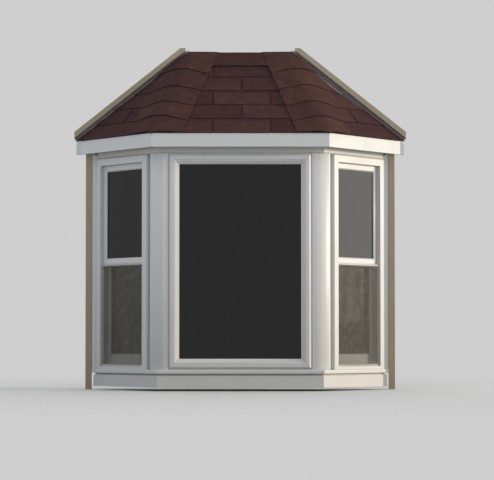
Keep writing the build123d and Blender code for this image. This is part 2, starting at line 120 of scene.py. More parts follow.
class Graph:
    """Short calls that build the nodes of one material or of the world."""

    def __init__(self, owner: bpy.types.Material | bpy.types.World) -> None:
        """Starts with no nodes.

        Args:
            owner: What the nodes are for.
        """
        owner.use_nodes = True
        self.owner = owner
        self.tree = owner.node_tree
        self.tree.nodes.clear()

    @cached_property
    def place(self) -> Socket:
        """Coordinates of the object that the material is on."""
        return self.add("ShaderNodeTexCoord").outputs["Object"]

    def add(self, kind: str, inputs: dict | None = None, **settings: object) -> bpy.types.Node:
        """Adds one node.

        Args:
            kind: The node's type name.
            inputs: Values or sockets for its inputs, by name or place.
            **settings: Values of the node's own settings.

        Returns:
            The new node.
        """
        node = self.tree.nodes.new(kind)
        for key, value in settings.items():
            setattr(node, key, value)
        for key, value in (inputs or {}).items():
            self.feed(node.inputs[key], value)
        return node

    def feed(self, socket: Socket, value: object) -> None:
        """Links a socket to another, or sets its value where it gets a plain one.

        Args:
            socket: The socket that is fed.
            value: A socket, or a plain value.
        """
        if isinstance(value, bpy.types.NodeSocket):
            self.tree.links.new(value, socket)
        elif socket.type == "RGBA" and len(value) == 3:
            socket.default_value = (*value, 1.0)
        else:
            socket.default_value = value

    def math(self, operation: str, first: Number, second: Number = 0.0, third: Number = 0.0) -> Socket:
        """Result of one sum, called by its name, on up to three numbers."""
        inputs = {0: first, 1: second, 2: third}
        return self.add("ShaderNodeMath", inputs, operation=operation).outputs[0]

    def stretch(self, vector: Socket, scale: Triple) -> Socket:
        """Multiplies a vector's three parts by three scales."""
        return self.add("ShaderNodeVectorMath", {0: vector, 1: scale}, operation="MULTIPLY").outputs[0]

    def along(self, vector: Socket, direction: Vector) -> Socket:
        """Measure of a vector along a direction."""
        node = self.add("ShaderNodeVectorMath", {0: vector, 1: tuple(direction)}, operation="DOT_PRODUCT")
        return node.outputs["Value"]

    def parts(self, vector: Socket) -> list[Socket]:
        """The three parts of a vector."""
        return list(self.add("ShaderNodeSeparateXYZ", {0: vector}).outputs)

    def joined(self, x: Number, y: Number, z: Number) -> Socket:
        """Vector of three parts."""
        return self.add("ShaderNodeCombineXYZ", {0: x, 1: y, 2: z}).outputs[0]

    def noise(self, scale: float, detail: float = 2.0, vector: Socket | None = None) -> Socket:
        """Soft noise from 0 to 1, its scale in waves to the metre and its detail in finer layers."""
        inputs = {"Vector": vector or self.place, "Scale": scale, "Detail": detail}
        return self.add("ShaderNodeTexNoise", inputs).outputs[0]

    def cells(self, scale: float, vector: Socket | None = None) -> bpy.types.Node:
        """Cell pattern, with its distance and its colour for each cell."""
        return self.add("ShaderNodeTexVoronoi", {"Vector": vector or self.place, "Scale": scale})

    def chance(self, cells: bpy.types.Node) -> Socket:
        """A number from 0 to 1 for each cell of a pattern."""
        return self.add("ShaderNodeSeparateColor", {0: cells.outputs["Color"]}).outputs[0]

    def band(
        self, value: Socket, low: float, high: float, to_low: float = 0.0, to_high: float = 1.0
    ) -> Socket:
        """Eases a value from one range to another, and holds it at their ends."""
        inputs = {0: value, 1: low, 2: high, 3: to_low, 4: to_high}
        return self.add("ShaderNodeMapRange", inputs, interpolation_type="SMOOTHSTEP").outputs[0]

    def blend(self, share: Number, first: object, second: object) -> Socket:
        """Mixes a share of the second colour into the first."""
        inputs = {0: share, 6: first, 7: second}
        return self.add("ShaderNodeMix", inputs, data_type="RGBA").outputs[2]

    def bump(
        self, height: Socket, distance: float, strength: float = 1.0, below: Socket | None = None
    ) -> Socket:
        """Relief from a height.

        Args:
            height: Height from 0 to 1.
            distance: What a height of 1 stands for, in metres.
            strength: Share of the relief that shows.
            below: Relief that this one lies on.

        Returns:
            The normal's socket.
        """
        node = self.add("ShaderNodeBump", {"Height": height, "Distance": distance, "Strength": strength})
        if below is not None:
            self.feed(node.inputs["Normal"], below)
        return node.outputs[0]

    def creases(self, reach: float) -> Socket:
        """Share, from ambient occlusion, that rises from 0 on open faces to 1 where another surface is well
        within reach, for painting shade.
        """
        node = self.add("ShaderNodeAmbientOcclusion", {"Distance": reach}, samples=4)
        return self.band(node.outputs["AO"], 0.25, 0.85, 1.0, 0.0)

    def tone(self, name: str) -> Socket:
        """A number that the mesh carries for each of its faces."""
        return self.add("ShaderNodeAttribute", attribute_name=name).outputs["Fac"]

    def seen(self) -> Socket:
        """Tells what is looked at from what only sheds light.

        Returns:
            Share that is 1 to the camera, in reflections and through glass, and 0 to other rays.
        """
        path = self.add("ShaderNodeLightPath").outputs
        open_view = self.math("MAXIMUM", path["Is Camera Ray"], path["Is Glossy Ray"])
        return self.math("MAXIMUM", open_view, path["Is Transmission Ray"])

    def surface(self, inputs: dict) -> bpy.types.Material:
        """Ends the material with its surface.

        Args:
            inputs: Values or sockets of the surface's inputs.

        Returns:
            The finished material.
        """
        shader = self.add("ShaderNodeBsdfPrincipled", inputs)
        self.add("ShaderNodeOutputMaterial", {"Surface": shader.outputs[0]})
        return self.owner


@dataclass(frozen=True)
class WeldedCorners:
    """Places of the welded mitres in one rectangular frame."""

    low: Vector
    high: Vector
    turn: Matrix
    width: float = 0.0008

    def line(self, graph: Graph) -> Socket:
        """Finds the welds.

        Args:
            graph: The material that they're drawn in.

        Returns:
            Share that is 1 on a weld and 0 off it.
        """
        middle = (self.low + self.high) / 2
        half = (self.high - self.low) / 2
        depths = []
        for way, centre, reach in ((self.turn @ X_AXIS, middle.x, half.x), (Z_AXIS, middle.z, half.z)):
            from_centre = graph.math("SUBTRACT", graph.along(graph.place, way), centre)
            depths.append(graph.math("SUBTRACT", reach, graph.math("ABSOLUTE", from_centre)))
        off = graph.math("ABSOLUTE", graph.math("SUBTRACT", *depths))
        return graph.band(off, self.width / 2, self.width, 1.0, 0.0)


@dataclass(frozen=True)
class Vinyl:
    """Smooth extruded vinyl with faint soiling in runs, painted shade darkening its seams and recesses, and
    welded corners with dark joints.
    """

    name: str
    colour: Colour = (0.70, 0.71, 0.72)
    soil: Colour = (0.50, 0.49, 0.46)
    soil_share: float = 0.12
    roughness: float = 0.34
    # Dark colour of the painted shade in seams and recesses, also used for the real weld lines.
    grime: Colour = (0.20, 0.19, 0.17)
    grime_share: float = 0.5
    crease: float = 0.014
    run_scale: Triple = (38.0, 38.0, 2.2)
    wave_depth: float = 0.6 * MILLIMETRE
    skin_depth: float = 0.03 * MILLIMETRE
    weld_share: float = 0.45
    weld_depth: float = 0.3 * MILLIMETRE

    def make(self, welds: WeldedCorners | None = None) -> bpy.types.Material:
        """Builds the material.

        Args:
            welds: The welded corners of the frame that it's for.

        Returns:
            The material.
        """
        graph = Graph(bpy.data.materials.new(self.name))
        runs = graph.noise(1.0, 4.0, graph.stretch(graph.place, self.run_scale))
        clouds = graph.noise(5.0, 3.0)
        soiling = graph.math("MULTIPLY", graph.band(runs, 0.45, 0.75), graph.band(clouds, 0.35, 0.7))
        soiling = graph.math("MULTIPLY", soiling, self.soil_share)
        colour = graph.blend(soiling, self.colour, self.soil)
        # Painted shade: the colour darkens where ambient occlusion finds another surface close by.
        grime = graph.math("MULTIPLY", graph.creases(self.crease), self.grime_share)
        colour = graph.blend(grime, colour, self.grime)
        waves = graph.bump(graph.noise(9.0, 1.0), self.wave_depth, 0.35)
        skin = graph.bump(graph.noise(900.0, 2.0), self.skin_depth, 0.5, waves)
        if welds is not None:
            line = welds.line(graph)
            colour = graph.blend(graph.math("MULTIPLY", line, self.weld_share), colour, self.grime)
            skin = graph.bump(line, -self.weld_depth, 1.0, skin)
        roughness = graph.band(clouds, 0.2, 0.8, self.roughness - 0.05, self.roughness + 0.12)
        return graph.surface({"Base Color": colour, "Roughness": roughness, "Normal": skin})


@dataclass(frozen=True)
class EmbossedVinyl:
    """Beige siding trim with a shallow brushed wood emboss."""

    name: str
    colour: Colour = (0.36, 0.30, 0.20)
    faded: Colour = (0.43, 0.37, 0.26)
    shade: Colour = (0.16, 0.13, 0.09)
    grain: Grain = Grain.UPRIGHT
    emboss_depth: float = 0.25 * MILLIMETRE

    def make(self) -> bpy.types.Material:
        """Builds the material.

        Returns:
            The material.
        """
        graph = Graph(bpy.data.materials.new(self.name))
        emboss = graph.noise(1.0, 3.0, grain_place(graph, self.grain, 14.0, 420.0))
        colour = graph.blend(graph.noise(4.0, 3.0), self.colour, self.faded)
        colour = graph.blend(graph.band(emboss, 0.35, 0.6, 0.10, 0.0), colour, self.shade)
        normal = graph.bump(emboss, self.emboss_depth, 0.6)
        roughness = graph.band(emboss, 0.3, 0.7, 0.62, 0.45)
        return graph.surface({"Base Color": colour, "Roughness": roughness, "Normal": normal})


def grain_place(graph: Graph, grain: Grain, lengthwise: float, crosswise: float) -> Socket:
    """Coordinates drawn out along a grain, the same in a piece and its mirrored twin.

    Args:
        graph: The material in the making.
        grain: The grain's direction in a right-hand piece.
        lengthwise: Scale along the grain.
        crosswise: Scale square to it.

    Returns:
        The coordinates' socket.
    """
    x, y, z = graph.parts(graph.place)
    folded = graph.joined(graph.math("ABSOLUTE", x), y, z)
    fibre = Vector(grain.value).normalized()
    off_axis = Vector((0.31, 0.9, 0.3))
    aside = fibre.cross(off_axis).normalized()
    ways = ((fibre, lengthwise), (aside, crosswise), (fibre.cross(aside), crosswise))
    return graph.joined(*(graph.math("MULTIPLY", graph.along(folded, way), scale) for way, scale in ways))


@dataclass(frozen=True)
class Timber:
    """Sawn softwood: growth rings, fibres and small knots along one grain."""

    name: str
    grain: Grain
    light: Colour = (0.50, 0.35, 0.20)
    dark: Colour = (0.30, 0.17, 0.08)
    ring_pitch: float = 0.007
    roughness: float = 0.62
    knot_colour: Colour = (0.12, 0.06, 0.03)
    heart: tuple[float, float] = (0.07, 0.05)
    wander: float = 0.05
    fibre_depth: float = 0.2 * MILLIMETRE

    def make(self) -> bpy.types.Material:
        """Builds the material.

        Returns:
            The material.
        """
        graph = Graph(bpy.data.materials.new(self.name))
        plain = grain_place(graph, self.grain, 0.25, 1.0)
        drift = graph.noise(9.0, 2.0, plain)
        from_heart = [graph.math("ADD", *place) for place in zip(graph.parts(plain)[1:], self.heart)]
        squares = graph.math("ADD", *(graph.math("POWER", measure, 2.0) for measure in from_heart))
        radius = graph.math("ADD", graph.math("SQRT", squares), graph.math("MULTIPLY", drift, self.wander))
        ring = graph.math("FRACT", graph.math("DIVIDE", radius, self.ring_pitch))
        late = graph.math("MULTIPLY", graph.band(ring, 0.35, 0.9), graph.band(ring, 1.0, 0.93))
        fibres = graph.noise(1.0, 4.0, grain_place(graph, self.grain, 9.0, 700.0))
        knot_cells = graph.cells(1.0, grain_place(graph, self.grain, 3.0, 9.0))
        knot = graph.band(knot_cells.outputs["Distance"], 0.05, 0.16, 1.0, 0.0)
        colour = graph.blend(graph.math("MULTIPLY", late, 0.6), self.light, self.dark)
        colour = graph.blend(graph.band(fibres, 0.3, 0.7, 0.3, 0.0), colour, self.dark)
        colour = graph.blend(graph.math("MULTIPLY", knot, 0.75), colour, self.knot_colour)
        normal = graph.bump(fibres, self.fibre_depth, 0.5)
        roughness = graph.band(fibres, 0.2, 0.8, self.roughness + 0.1, self.roughness - 0.06)
        return graph.surface({"Base Color": colour, "Roughness": roughness, "Normal": normal})


@dataclass(frozen=True)
class StrandBoard:
    """Sheathing board of pressed wood strands."""

    name: str
    light: Colour = (0.55, 0.40, 0.22)
    dark: Colour = (0.32, 0.20, 0.10)
    long_way: Triple = (0.5, 1.0, 1.6)
    short_way: Triple = (1.5, 1.0, 0.6)
    fibre_scale: Triple = (60.0, 500.0, 400.0)
    strand_depth: float = 0.5 * MILLIMETRE
    fibre_depth: float = 0.15 * MILLIMETRE

    def make(self) -> bpy.types.Material:
        """Builds the material.

        Returns:
            The material.
        """
        graph = Graph(bpy.data.materials.new(self.name))
        layers = []
        for scale, way, share in ((30.0, self.long_way, 0.55), (34.0, self.short_way, 0.45)):
            cells = graph.cells(scale, graph.stretch(graph.place, way))
            layers.append(graph.math("MULTIPLY", graph.chance(cells), share))
        strands = graph.math("ADD", *layers)
        fibres = graph.noise(1.0, 3.0, graph.stretch(graph.place, self.fibre_scale))
        colour = graph.blend(strands, self.dark, self.light)
        colour = graph.blend(graph.band(fibres, 0.35, 0.65, 0.25, 0.0), colour, self.dark)
        relief = graph.bump(strands, self.strand_depth, 0.6)
        normal = graph.bump(fibres, self.fibre_depth, 0.5, relief)
        roughness = graph.band(strands, 0.1, 0.9, 0.55, 0.72)
        return graph.surface({"Base Color": colour, "Roughness": roughness, "Normal": normal})


@dataclass(frozen=True)
class Granules:
    """Mineral granules pressed into the asphalt of the shingles."""

    name: str
    dark: Colour = (0.034, 0.016, 0.019)
    middle: Colour = (0.066, 0.029, 0.029)
    light: Colour = (0.150, 0.076, 0.044)
    asphalt: Colour = (0.018, 0.015, 0.015)
    granule_size: float = 0.0016
    granule_depth: float = 0.7 * MILLIMETRE
    lump_depth: float = 0.8 * MILLIMETRE

    def make(self) -> bpy.types.Material:
        """Builds the material.

        Returns:
            The material.
        """
        graph = Graph(bpy.data.materials.new(self.name))
        grains = graph.cells(1.0 / self.granule_size)
        grain_tone = graph.chance(grains)
        tab = graph.tone("tone")
        patches = graph.noise(22.0, 4.0)
        mixed = graph.math("MULTIPLY_ADD", tab, 0.24, graph.math("MULTIPLY_ADD", grain_tone, 0.5, 0.055))
        mixed = graph.math("ADD", mixed, graph.math("MULTIPLY", graph.math("SUBTRACT", patches, 0.5), 0.5))
        colour = graph.blend(graph.band(mixed, 0.0, 0.5), self.dark, self.middle)
        colour = graph.blend(graph.band(mixed, 0.5, 1.0), colour, self.light)
        worn = graph.band(graph.noise(130.0, 2.0), 0.66, 0.78, 0.0, 0.5)
        colour = graph.blend(worn, colour, self.asphalt)
        colour = graph.blend(graph.tone("edge"), colour, self.asphalt)
        rough = graph.bump(grains.outputs["Distance"], self.granule_depth, 0.8)
        normal = graph.bump(graph.noise(60.0, 3.0), self.lump_depth, 0.4, rough)
        roughness = graph.band(grain_tone, 0.0, 1.0, 0.96, 0.80)
        inputs = {"Base Color": colour, "Roughness": roughness, "Normal": normal, "Specular IOR Level": 0.15}
        return graph.surface(inputs)


@dataclass(frozen=True)
class PaintedMetal:
    """Thin painted sheet that has buckled a little and dulled."""

    name: str
    colour: Colour = (0.165, 0.145, 0.158)
    dulled: Colour = (0.230, 0.205, 0.220)
    metallic: float = 0.15
    roughness: float = 0.55
    buckle_depth: float = 2.0 * MILLIMETRE
    scuff_scale: Triple = (60.0, 400.0, 90.0)
    scuff_depth: float = 0.1 * MILLIMETRE

    def make(self) -> bpy.types.Material:
        """Builds the material.

        Returns:
            The material.
        """
        graph = Graph(bpy.data.materials.new(self.name))
        clouds = graph.noise(16.0, 4.0)
        colour = graph.blend(graph.band(clouds, 0.35, 0.7), self.colour, self.dulled)
        buckle = graph.bump(graph.noise(11.0, 1.0), self.buckle_depth, 0.5)
        scuffs = graph.noise(1.0, 3.0, graph.stretch(graph.place, self.scuff_scale))
        normal = graph.bump(scuffs, self.scuff_depth, 0.4, buckle)
        roughness = graph.band(scuffs, 0.3, 0.7, self.roughness, self.roughness + 0.18)
        inputs = {"Base Color": colour, "Roughness": roughness, "Metallic": self.metallic, "Normal": normal}
        return graph.surface(inputs)


@dataclass(frozen=True)
class Glass:
    """Glass tinted almost black, painted shade that stands in for the dark room behind it, with a trace of
    dust.
    """

    name: str
    colour: Colour = (0.040, 0.044, 0.050)
    index: float = 1.45
    dust_scale: Triple = (26.0, 26.0, 7.0)
    wave_depth: float = 3.0 * MILLIMETRE

    def make(self) -> bpy.types.Material:
        """Builds the material.

        Returns:
            The material.
        """
        graph = Graph(bpy.data.materials.new(self.name))
        dust = graph.noise(1.0, 4.0, graph.stretch(graph.place, self.dust_scale))
        roughness = graph.band(dust, 0.4, 0.9, 0.015, 0.09)
        waves = graph.bump(graph.noise(3.4, 1.0), self.wave_depth, 0.35)
        inputs = {
            "Base Color": self.colour,
            "Roughness": roughness,
            "IOR": self.index,
            "Transmission Weight": 1.0,
            "Normal": waves,
        }
        return graph.surface(inputs)


@dataclass(frozen=True)
class CoatedThread:
    """Coated threads, cords and seals: matt, with a fine uneven skin."""

    name: str
    colour: Colour = (0.030, 0.031, 0.033)
    worn: Colour = (0.075, 0.075, 0.075)
    roughness: float = 0.6
    skin_depth: float = 0.02 * MILLIMETRE

    def make(self) -> bpy.types.Material:
        """Builds the material.

        Returns:
            The material.
        """
        graph = Graph(bpy.data.materials.new(self.name))
        clouds = graph.noise(40.0, 3.0)
        colour = graph.blend(graph.band(clouds, 0.4, 0.8), self.colour, self.worn)
        normal = graph.bump(graph.noise(2600.0, 1.0), self.skin_depth, 0.5)
        roughness = graph.band(clouds, 0.2, 0.8, self.roughness, self.roughness + 0.15)
        return graph.surface({"Base Color": colour, "Roughness": roughness, "Normal": normal})


@dataclass(frozen=True)
class Wrapped:
    """Interior wood board whose outdoor band is wrapped in white vinyl."""

    name: str
    grain: Grain
    reach: float
    corner_half: float
    vinyl: Colour = (0.70, 0.71, 0.72)
    light: Colour = (0.60, 0.43, 0.25)
    dark: Colour = (0.40, 0.25, 0.12)
    seam: float = 0.5 * MILLIMETRE
    fibre_depth: float = 0.06 * MILLIMETRE

    def make(self) -> bpy.types.Material:
        """Builds the material, wood indoors of a seam under the middle of the units and vinyl outdoors.

        Returns:
            The material.
        """
        graph = Graph(bpy.data.materials.new(self.name))
        front = graph.along(graph.place, -Y_AXIS)
        side = graph.math("ABSOLUTE", graph.parts(graph.place)[0])
        flank = graph.math("MULTIPLY", graph.math("ADD", side, front), cos(BAY_TURN))
        flank_reach = (self.corner_half + self.reach) * cos(BAY_TURN)
        past_front = graph.math("SUBTRACT", front, self.reach)
        outer = graph.math("MAXIMUM", past_front, graph.math("SUBTRACT", flank, flank_reach))
        wrap = graph.band(outer, -self.seam, self.seam)
        fibres = graph.noise(1.0, 4.0, grain_place(graph, self.grain, 6.0, 260.0))
        figure = graph.noise(1.0, 2.0, grain_place(graph, self.grain, 2.0, 34.0))
        colour = graph.blend(graph.band(figure, 0.35, 0.7, 0.0, 0.7), self.light, self.dark)
        colour = graph.blend(graph.band(fibres, 0.35, 0.6, 0.35, 0.0), colour, self.dark)
        colour = graph.blend(wrap, colour, self.vinyl)
        normal = graph.bump(fibres, self.fibre_depth, 0.4)
        roughness = graph.band(fibres, 0.2, 0.8, 0.42, 0.32)
        return graph.surface({"Base Color": colour, "Roughness": roughness, "Normal": normal})


class Finishes:
    """Every finish of the bay, made once and shared by its pieces."""

    def __init__(self, shape: "BayShape") -> None:
        """Makes the finishes.

        Args:
            shape: The bay's shared places.
        """
        self.frame_finish = Vinyl("frame vinyl")
        self.sash_finish = Vinyl("sash vinyl", (0.71, 0.71, 0.715), soil_share=0.08, roughness=0.3)
        self.frame_vinyl = self.frame_finish.make()
        self.trim_vinyl = Vinyl("trim vinyl", (0.68, 0.69, 0.70), soil_share=0.2, roughness=0.42).make()
        self.sash_vinyl = self.sash_finish.make()
        # The same white vinyl made darker, with a deeper reach of darkening: painted shade under the eaves.
        shaded = Vinyl("soffit vinyl", (0.62, 0.61, 0.57), soil_share=0.3, roughness=0.5, crease=0.04)
        self.soffit_vinyl = shaded.make()
        painted = Vinyl("screen frame paint", (0.52, 0.52, 0.51), soil_share=0.2, roughness=0.38)
        self.screen_paint = painted.make()
        self.channel = EmbossedVinyl("channel vinyl").make()
        self.rake_channel = EmbossedVinyl("rake channel vinyl", grain=Grain.RAKE).make()
        self.granules = Granules("shingle granules").make()
        self.flashing = PaintedMetal("flashing metal").make()
        bare = PaintedMetal("spacer metal", (0.42, 0.42, 0.42), (0.5, 0.5, 0.5), metallic=0.9, roughness=0.35)
        self.spacer = bare.make()
        # Near-black glass: painted shade for the dark room behind the panes.
        self.glass = Glass("dark glass").make()
        self.thread = CoatedThread("screen thread", (0.23, 0.21, 0.175), (0.35, 0.33, 0.27)).make()
        black = CoatedThread("black seal", (0.014, 0.014, 0.015), (0.03, 0.03, 0.03), roughness=0.5)
        self.seal = black.make()
        self.strand_board = StrandBoard("strand board").make()
        wrap_reach = shape.unit_front - shape.unit_depth / 2
        self.seat_wood = Wrapped("wrapped seat board", Grain.ACROSS, wrap_reach, shape.corner_half).make()
        framing = (Grain.ACROSS, Grain.COMMON, Grain.HIP, Grain.JACK, Grain.RAKE)
        self.timber = {grain: Timber("timber " + grain.name.lower(), grain).make() for grain in framing}
        light, dark = (0.58, 0.42, 0.25), (0.42, 0.27, 0.14)
        planed = Timber("interior wood", Grain.UPRIGHT, light, dark, ring_pitch=0.012, roughness=0.4)
        self.interior = planed.make()

    def welded(self, node: str, facing: Facing, finish: Vinyl) -> bpy.types.Material:
        """Makes a vinyl with the welds of the rectangular frame that is one node of one light."""
        low, high = solid_boxes(node, facing)[0]
        return replace(finish, name=finish.name + " " + node).make(WeldedCorners(low, high, facing.turn))


@dataclass(frozen=True)
class BayShape:
    """Places that the bay's pieces share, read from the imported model."""

    eave_half: float
    eave_front: float
    eave_height: float
    ridge_half: float
    top_height: float
    shingle_front: float
    wall_gap: float
    unit_front: float
    unit_depth: float
    corner_half: float

    @classmethod
    def from_frame(cls) -> "BayShape":
        """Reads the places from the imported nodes' boxes.

        Returns:
            The places.
        """
        fascia_low, fascia_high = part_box("fascia_front")
        unit_low, unit_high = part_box("centre_frame")
        post_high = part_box("corner_posts")[1]
        half_turn = tan(BAY_TURN / 2)
        return cls(
            eave_half=fascia_high.x,
            eave_front=-fascia_low.y,
            eave_height=fascia_high.z,
            ridge_half=fascia_high.x + fascia_low.y * half_turn,
            top_height=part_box("sheathing_front")[1].z,
            shingle_front=-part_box("shingles_front")[0].y,
            wall_gap=-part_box("step_flashings")[0].y,
            unit_front=-unit_low.y,
            unit_depth=unit_high.y - unit_low.y,
            corner_half=fascia_high.x - (-fascia_low.y + unit_low.y) * half_turn,
        )

    @property
    def pitch(self) -> float:
        """Angle of the roof planes above level."""
        return atan2(self.top_height - self.eave_height, self.eave_front)

    @property
    def slope_length(self) -> float:
        """Length of a roof plane from eave to wall, square to the eave."""
        return self.eave_front / cos(self.pitch)

    @property
    def eave_corner(self) -> Vector:
        """Right-hand corner of the eaves, on the sheathing's upper plane."""
        return Vector((self.eave_half, -self.eave_front, self.eave_height))

    @property
    def ridge_corner(self) -> Vector:
        """Top of the right-hand hip at the wall, on the sheathing's upper plane."""
        return Vector((self.ridge_half, 0, self.top_height))


@dataclass(frozen=True)
class RoofPlane:
    """One of the three roof planes, measured along its eave, up its slope and outward."""

    origin: Vector
    across: Vector
    up: Vector
    out: Vector

    @classmethod
    def of(cls, shape: BayShape, facing: Facing) -> "RoofPlane":
        """The plane of the front, or of the right-hand side for both sides.

        Args:
            shape: The bay's shared places.
            facing: Which face of the bay the plane is over.

        Returns:
            The plane, whose own origin is the right-hand eave corner.
        """
        turn = Facing.FRONT.turn if facing is Facing.FRONT else Facing.RIGHT.turn
        inward = turn @ Y_AXIS
        up = inward * cos(shape.pitch) + Z_AXIS * sin(shape.pitch)
        out = Z_AXIS * cos(shape.pitch) - inward * sin(shape.pitch)
        return cls(shape.eave_corner, turn @ X_AXIS, up, out)

    def at(self, across: float, up: float, out: float) -> Vector:
        """Point at measures along the eave from the corner, up the slope and outward."""
        return self.origin + self.across * across + self.up * up + self.out * out

    def by_wall(self, gap: float, up: float, out: float) -> Vector:
        """Point at a distance in front of the wall, up the slope and outward."""
        across = (-gap - self.origin.y - self.up.y * up - self.out.y * out) / self.across.y
        return self.at(across, up, out)

    @staticmethod
    def hip_stops(shape: BayShape, facing: Facing, reach: float) -> list[CutPlane]:
        """Planes that a piece stops at, a little short of its hips, in the axes of a right-hand piece.

        Args:
            shape: The bay's shared places.
            facing: The light that the roof plane is over.
            reach: How far it stops short, square to the hip in plan.

        Returns:
            A point of each plane and the direction of what goes.
        """
        corner = shape.eave_corner
        hip = Vector((1, tan(BAY_TURN / 2), 0)).normalized()
        if facing is Facing.FRONT:
            left_corner = Vector((-corner.x, corner.y, corner.z))
            left_hip = Vector((-hip.x, hip.y, 0))
            return [(corner - hip * reach, hip), (left_corner - left_hip * reach, left_hip)]
        return [(corner + hip * reach, -hip)]


def wall_cut(gap: float) -> CutPlane:
    """Plane at a gap in front of the wall, behind which everything goes."""
    return Y_AXIS * -gap, Y_AXIS


def grid(rows: int, columns: int) -> list[tuple[float, float]]:
    """Shares up and across at each point of a grid, row by row."""
    return [(row / (rows - 1), column / (columns - 1)) for row in range(rows) for column in range(columns)]


def rim(rows: list[Ring]) -> Ring:
    """Points round the edge of a grid, in order."""
    return [*rows[0], *(row[-1] for row in rows[1:]), *rows[-1][-2::-1], *(row[0] for row in rows[-2:0:-1])]


def placed(name: str, data: bpy.types.ID) -> bpy.types.Object:
    """Puts new data into the scene.

    Args:
        name: The new object's name.
        data: Its mesh, lamp or camera.

    Returns:
        The new object.
    """
    made = bpy.data.objects.new(name, data)
    bpy.context.scene.collection.objects.link(made)
    return made


class Blank:
    """A mesh in the making, whose faces carry a tone and whether they are a cut edge."""

    def __init__(self) -> None:
        """Starts with nothing in it."""
        self.mesh = bmesh.new()
        self.tone_layer = self.mesh.faces.layers.float.new("tone")
        self.edge_layer = self.mesh.faces.layers.float.new("edge")

    def face(self, verts: Ring, tone: float, edge: float = 0.0) -> None:
        """Adds one face.

        Args:
            verts: Its corners in order.
            tone: Its tone from 0 to 1.
            edge: 1 on a cut edge.
        """
        new_face = self.mesh.faces.new(verts)
        new_face[self.tone_layer] = tone
        new_face[self.edge_layer] = edge

    def ring(self, points: list[Vector]) -> Ring:
        """Adds points to the mesh, with no face between them yet."""
        return [self.mesh.verts.new(point) for point in points]

    def bridge(self, first: Ring, second: Ring, tone: float, edge: float = 0.0) -> None:
        """Joins two closed rings of points with faces.

        Args:
            first: Points of one ring in order.
            second: Points of the other, as many.
            tone: The faces' tone.
            edge: 1 on a cut edge.
        """
        for place in range(len(first)):
            after = (place + 1) % len(first)
            self.face([first[place], first[after], second[after], second[place]], tone, edge)

    def sheet(self, points: list[PointPair], columns: int, tone: float) -> None:
        """Adds a closed sheet from a grid of points.

        Args:
            points: Upper and lower point at each place, row by row.
            columns: Places in a row.
            tone: The sheet's tone.
        """
        layers = []
        for side in range(2):
            verts = self.ring([pair[side] for pair in points])
            layers.append([verts[start : start + columns] for start in range(0, len(verts), columns)])
        upper, lower = layers
        for row in range(len(upper) - 1):
            for column in range(columns - 1):
                near, far = upper[row], upper[row + 1]
                self.face([near[column], near[column + 1], far[column + 1], far[column]], tone)
                near, far = lower[row], lower[row + 1]
                self.face([far[column], far[column + 1], near[column + 1], near[column]], tone, 1.0)
        self.bridge(rim(lower), rim(upper), tone, 1.0)

    def box(self, low: Vector, high: Vector, turn: Matrix) -> None:
        """Adds a block.

        Args:
            low: Its lowest corner, in the face's axes.
            high: Its highest corner.
            turn: Rotation of the face that it stands in.
        """
        plan = [(low.x, low.y), (high.x, low.y), (high.x, high.y), (low.x, high.y)]
        under, over = (self.ring([turn @ Vector((*place, z)) for place in plan]) for z in (low.z, high.z))
        self.face(under[::-1], PLAIN_TONE)
        self.face(over, PLAIN_TONE)
        self.bridge(under, over, PLAIN_TONE)

    def frame(self, low: Vector, high: Vector, section: list[tuple[float, float]], turn: Matrix) -> None:
        """Adds a frame mitred at its four corners.

        Args:
            low: Lowest corner of the frame's outline, with the depth that the section starts from.
            high: Highest corner of the outline.
            section: Inward and depth measures of the bar's section, counterclockwise.
            turn: Rotation of the face that it stands in.
        """
        left, right = (low.x, 1), (high.x, -1)
        foot, head = (low.z, 1), (high.z, -1)
        rings = []
        for (x, aside), (z, upward) in ((left, foot), (right, foot), (right, head), (left, head)):
            points = [Vector((x + aside * step, low.y + depth, z + upward * step)) for step, depth in section]
            rings.append(self.ring([turn @ point for point in points]))
        for first, second in zip(rings, rings[1:] + rings[:1]):
            self.bridge(first, second, PLAIN_TONE)

    def trim(self, planes: list[CutPlane], kept: frozenset = frozenset()) -> None:
        """Cuts away what lies beyond each plane and closes the cuts.

        Args:
            planes: A point of each plane and the direction of what goes.
            kept: Faces that are left as they are.
        """
        for point, outward in planes:
            faces = [face for face in self.mesh.faces if face not in kept]
            edges = {edge for face in faces for edge in face.edges}
            verts = {vert for face in faces for vert in face.verts}
            cut = bmesh.ops.bisect_plane(
                self.mesh,
                geom=[*verts, *edges, *faces],
                dist=CUT_SLACK,
                plane_co=point,
                plane_no=outward,
                clear_outer=True,
            )
            open_edges = [e for e in cut["geom_cut"] if isinstance(e, bmesh.types.BMEdge) and e.is_boundary]
            filled = bmesh.ops.holes_fill(self.mesh, edges=open_edges, sides=0)
            for new_face in filled["faces"]:
                new_face[self.tone_layer] = CUT_TONE
                new_face[self.edge_layer] = 1.0

    def faces(self) -> frozenset:
        """The faces made so far."""
        return frozenset(self.mesh.faces)

    def mirror(self) -> None:
        """Turns a right-hand blank into its left-hand twin."""
        for vert in self.mesh.verts:
            vert.co.x = -vert.co.x
        bmesh.ops.reverse_faces(self.mesh, faces=self.mesh.faces)

    def piece(self, name: str, finish: bpy.types.Material, slot: str, *replaced: str) -> None:
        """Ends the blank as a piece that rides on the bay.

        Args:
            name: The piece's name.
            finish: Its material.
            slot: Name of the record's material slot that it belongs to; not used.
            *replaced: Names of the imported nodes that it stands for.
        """
        bmesh.ops.recalc_face_normals(self.mesh, faces=self.mesh.faces)
        data = bpy.data.meshes.new(name)
        self.mesh.to_mesh(data)
        self.mesh.free()
        data.materials.append(finish)
        made = placed(name, data)
        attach(made, "root")
        if replaced:
            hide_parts(*replaced)
        log.info("%s: %d faces", name, len(data.polygons))


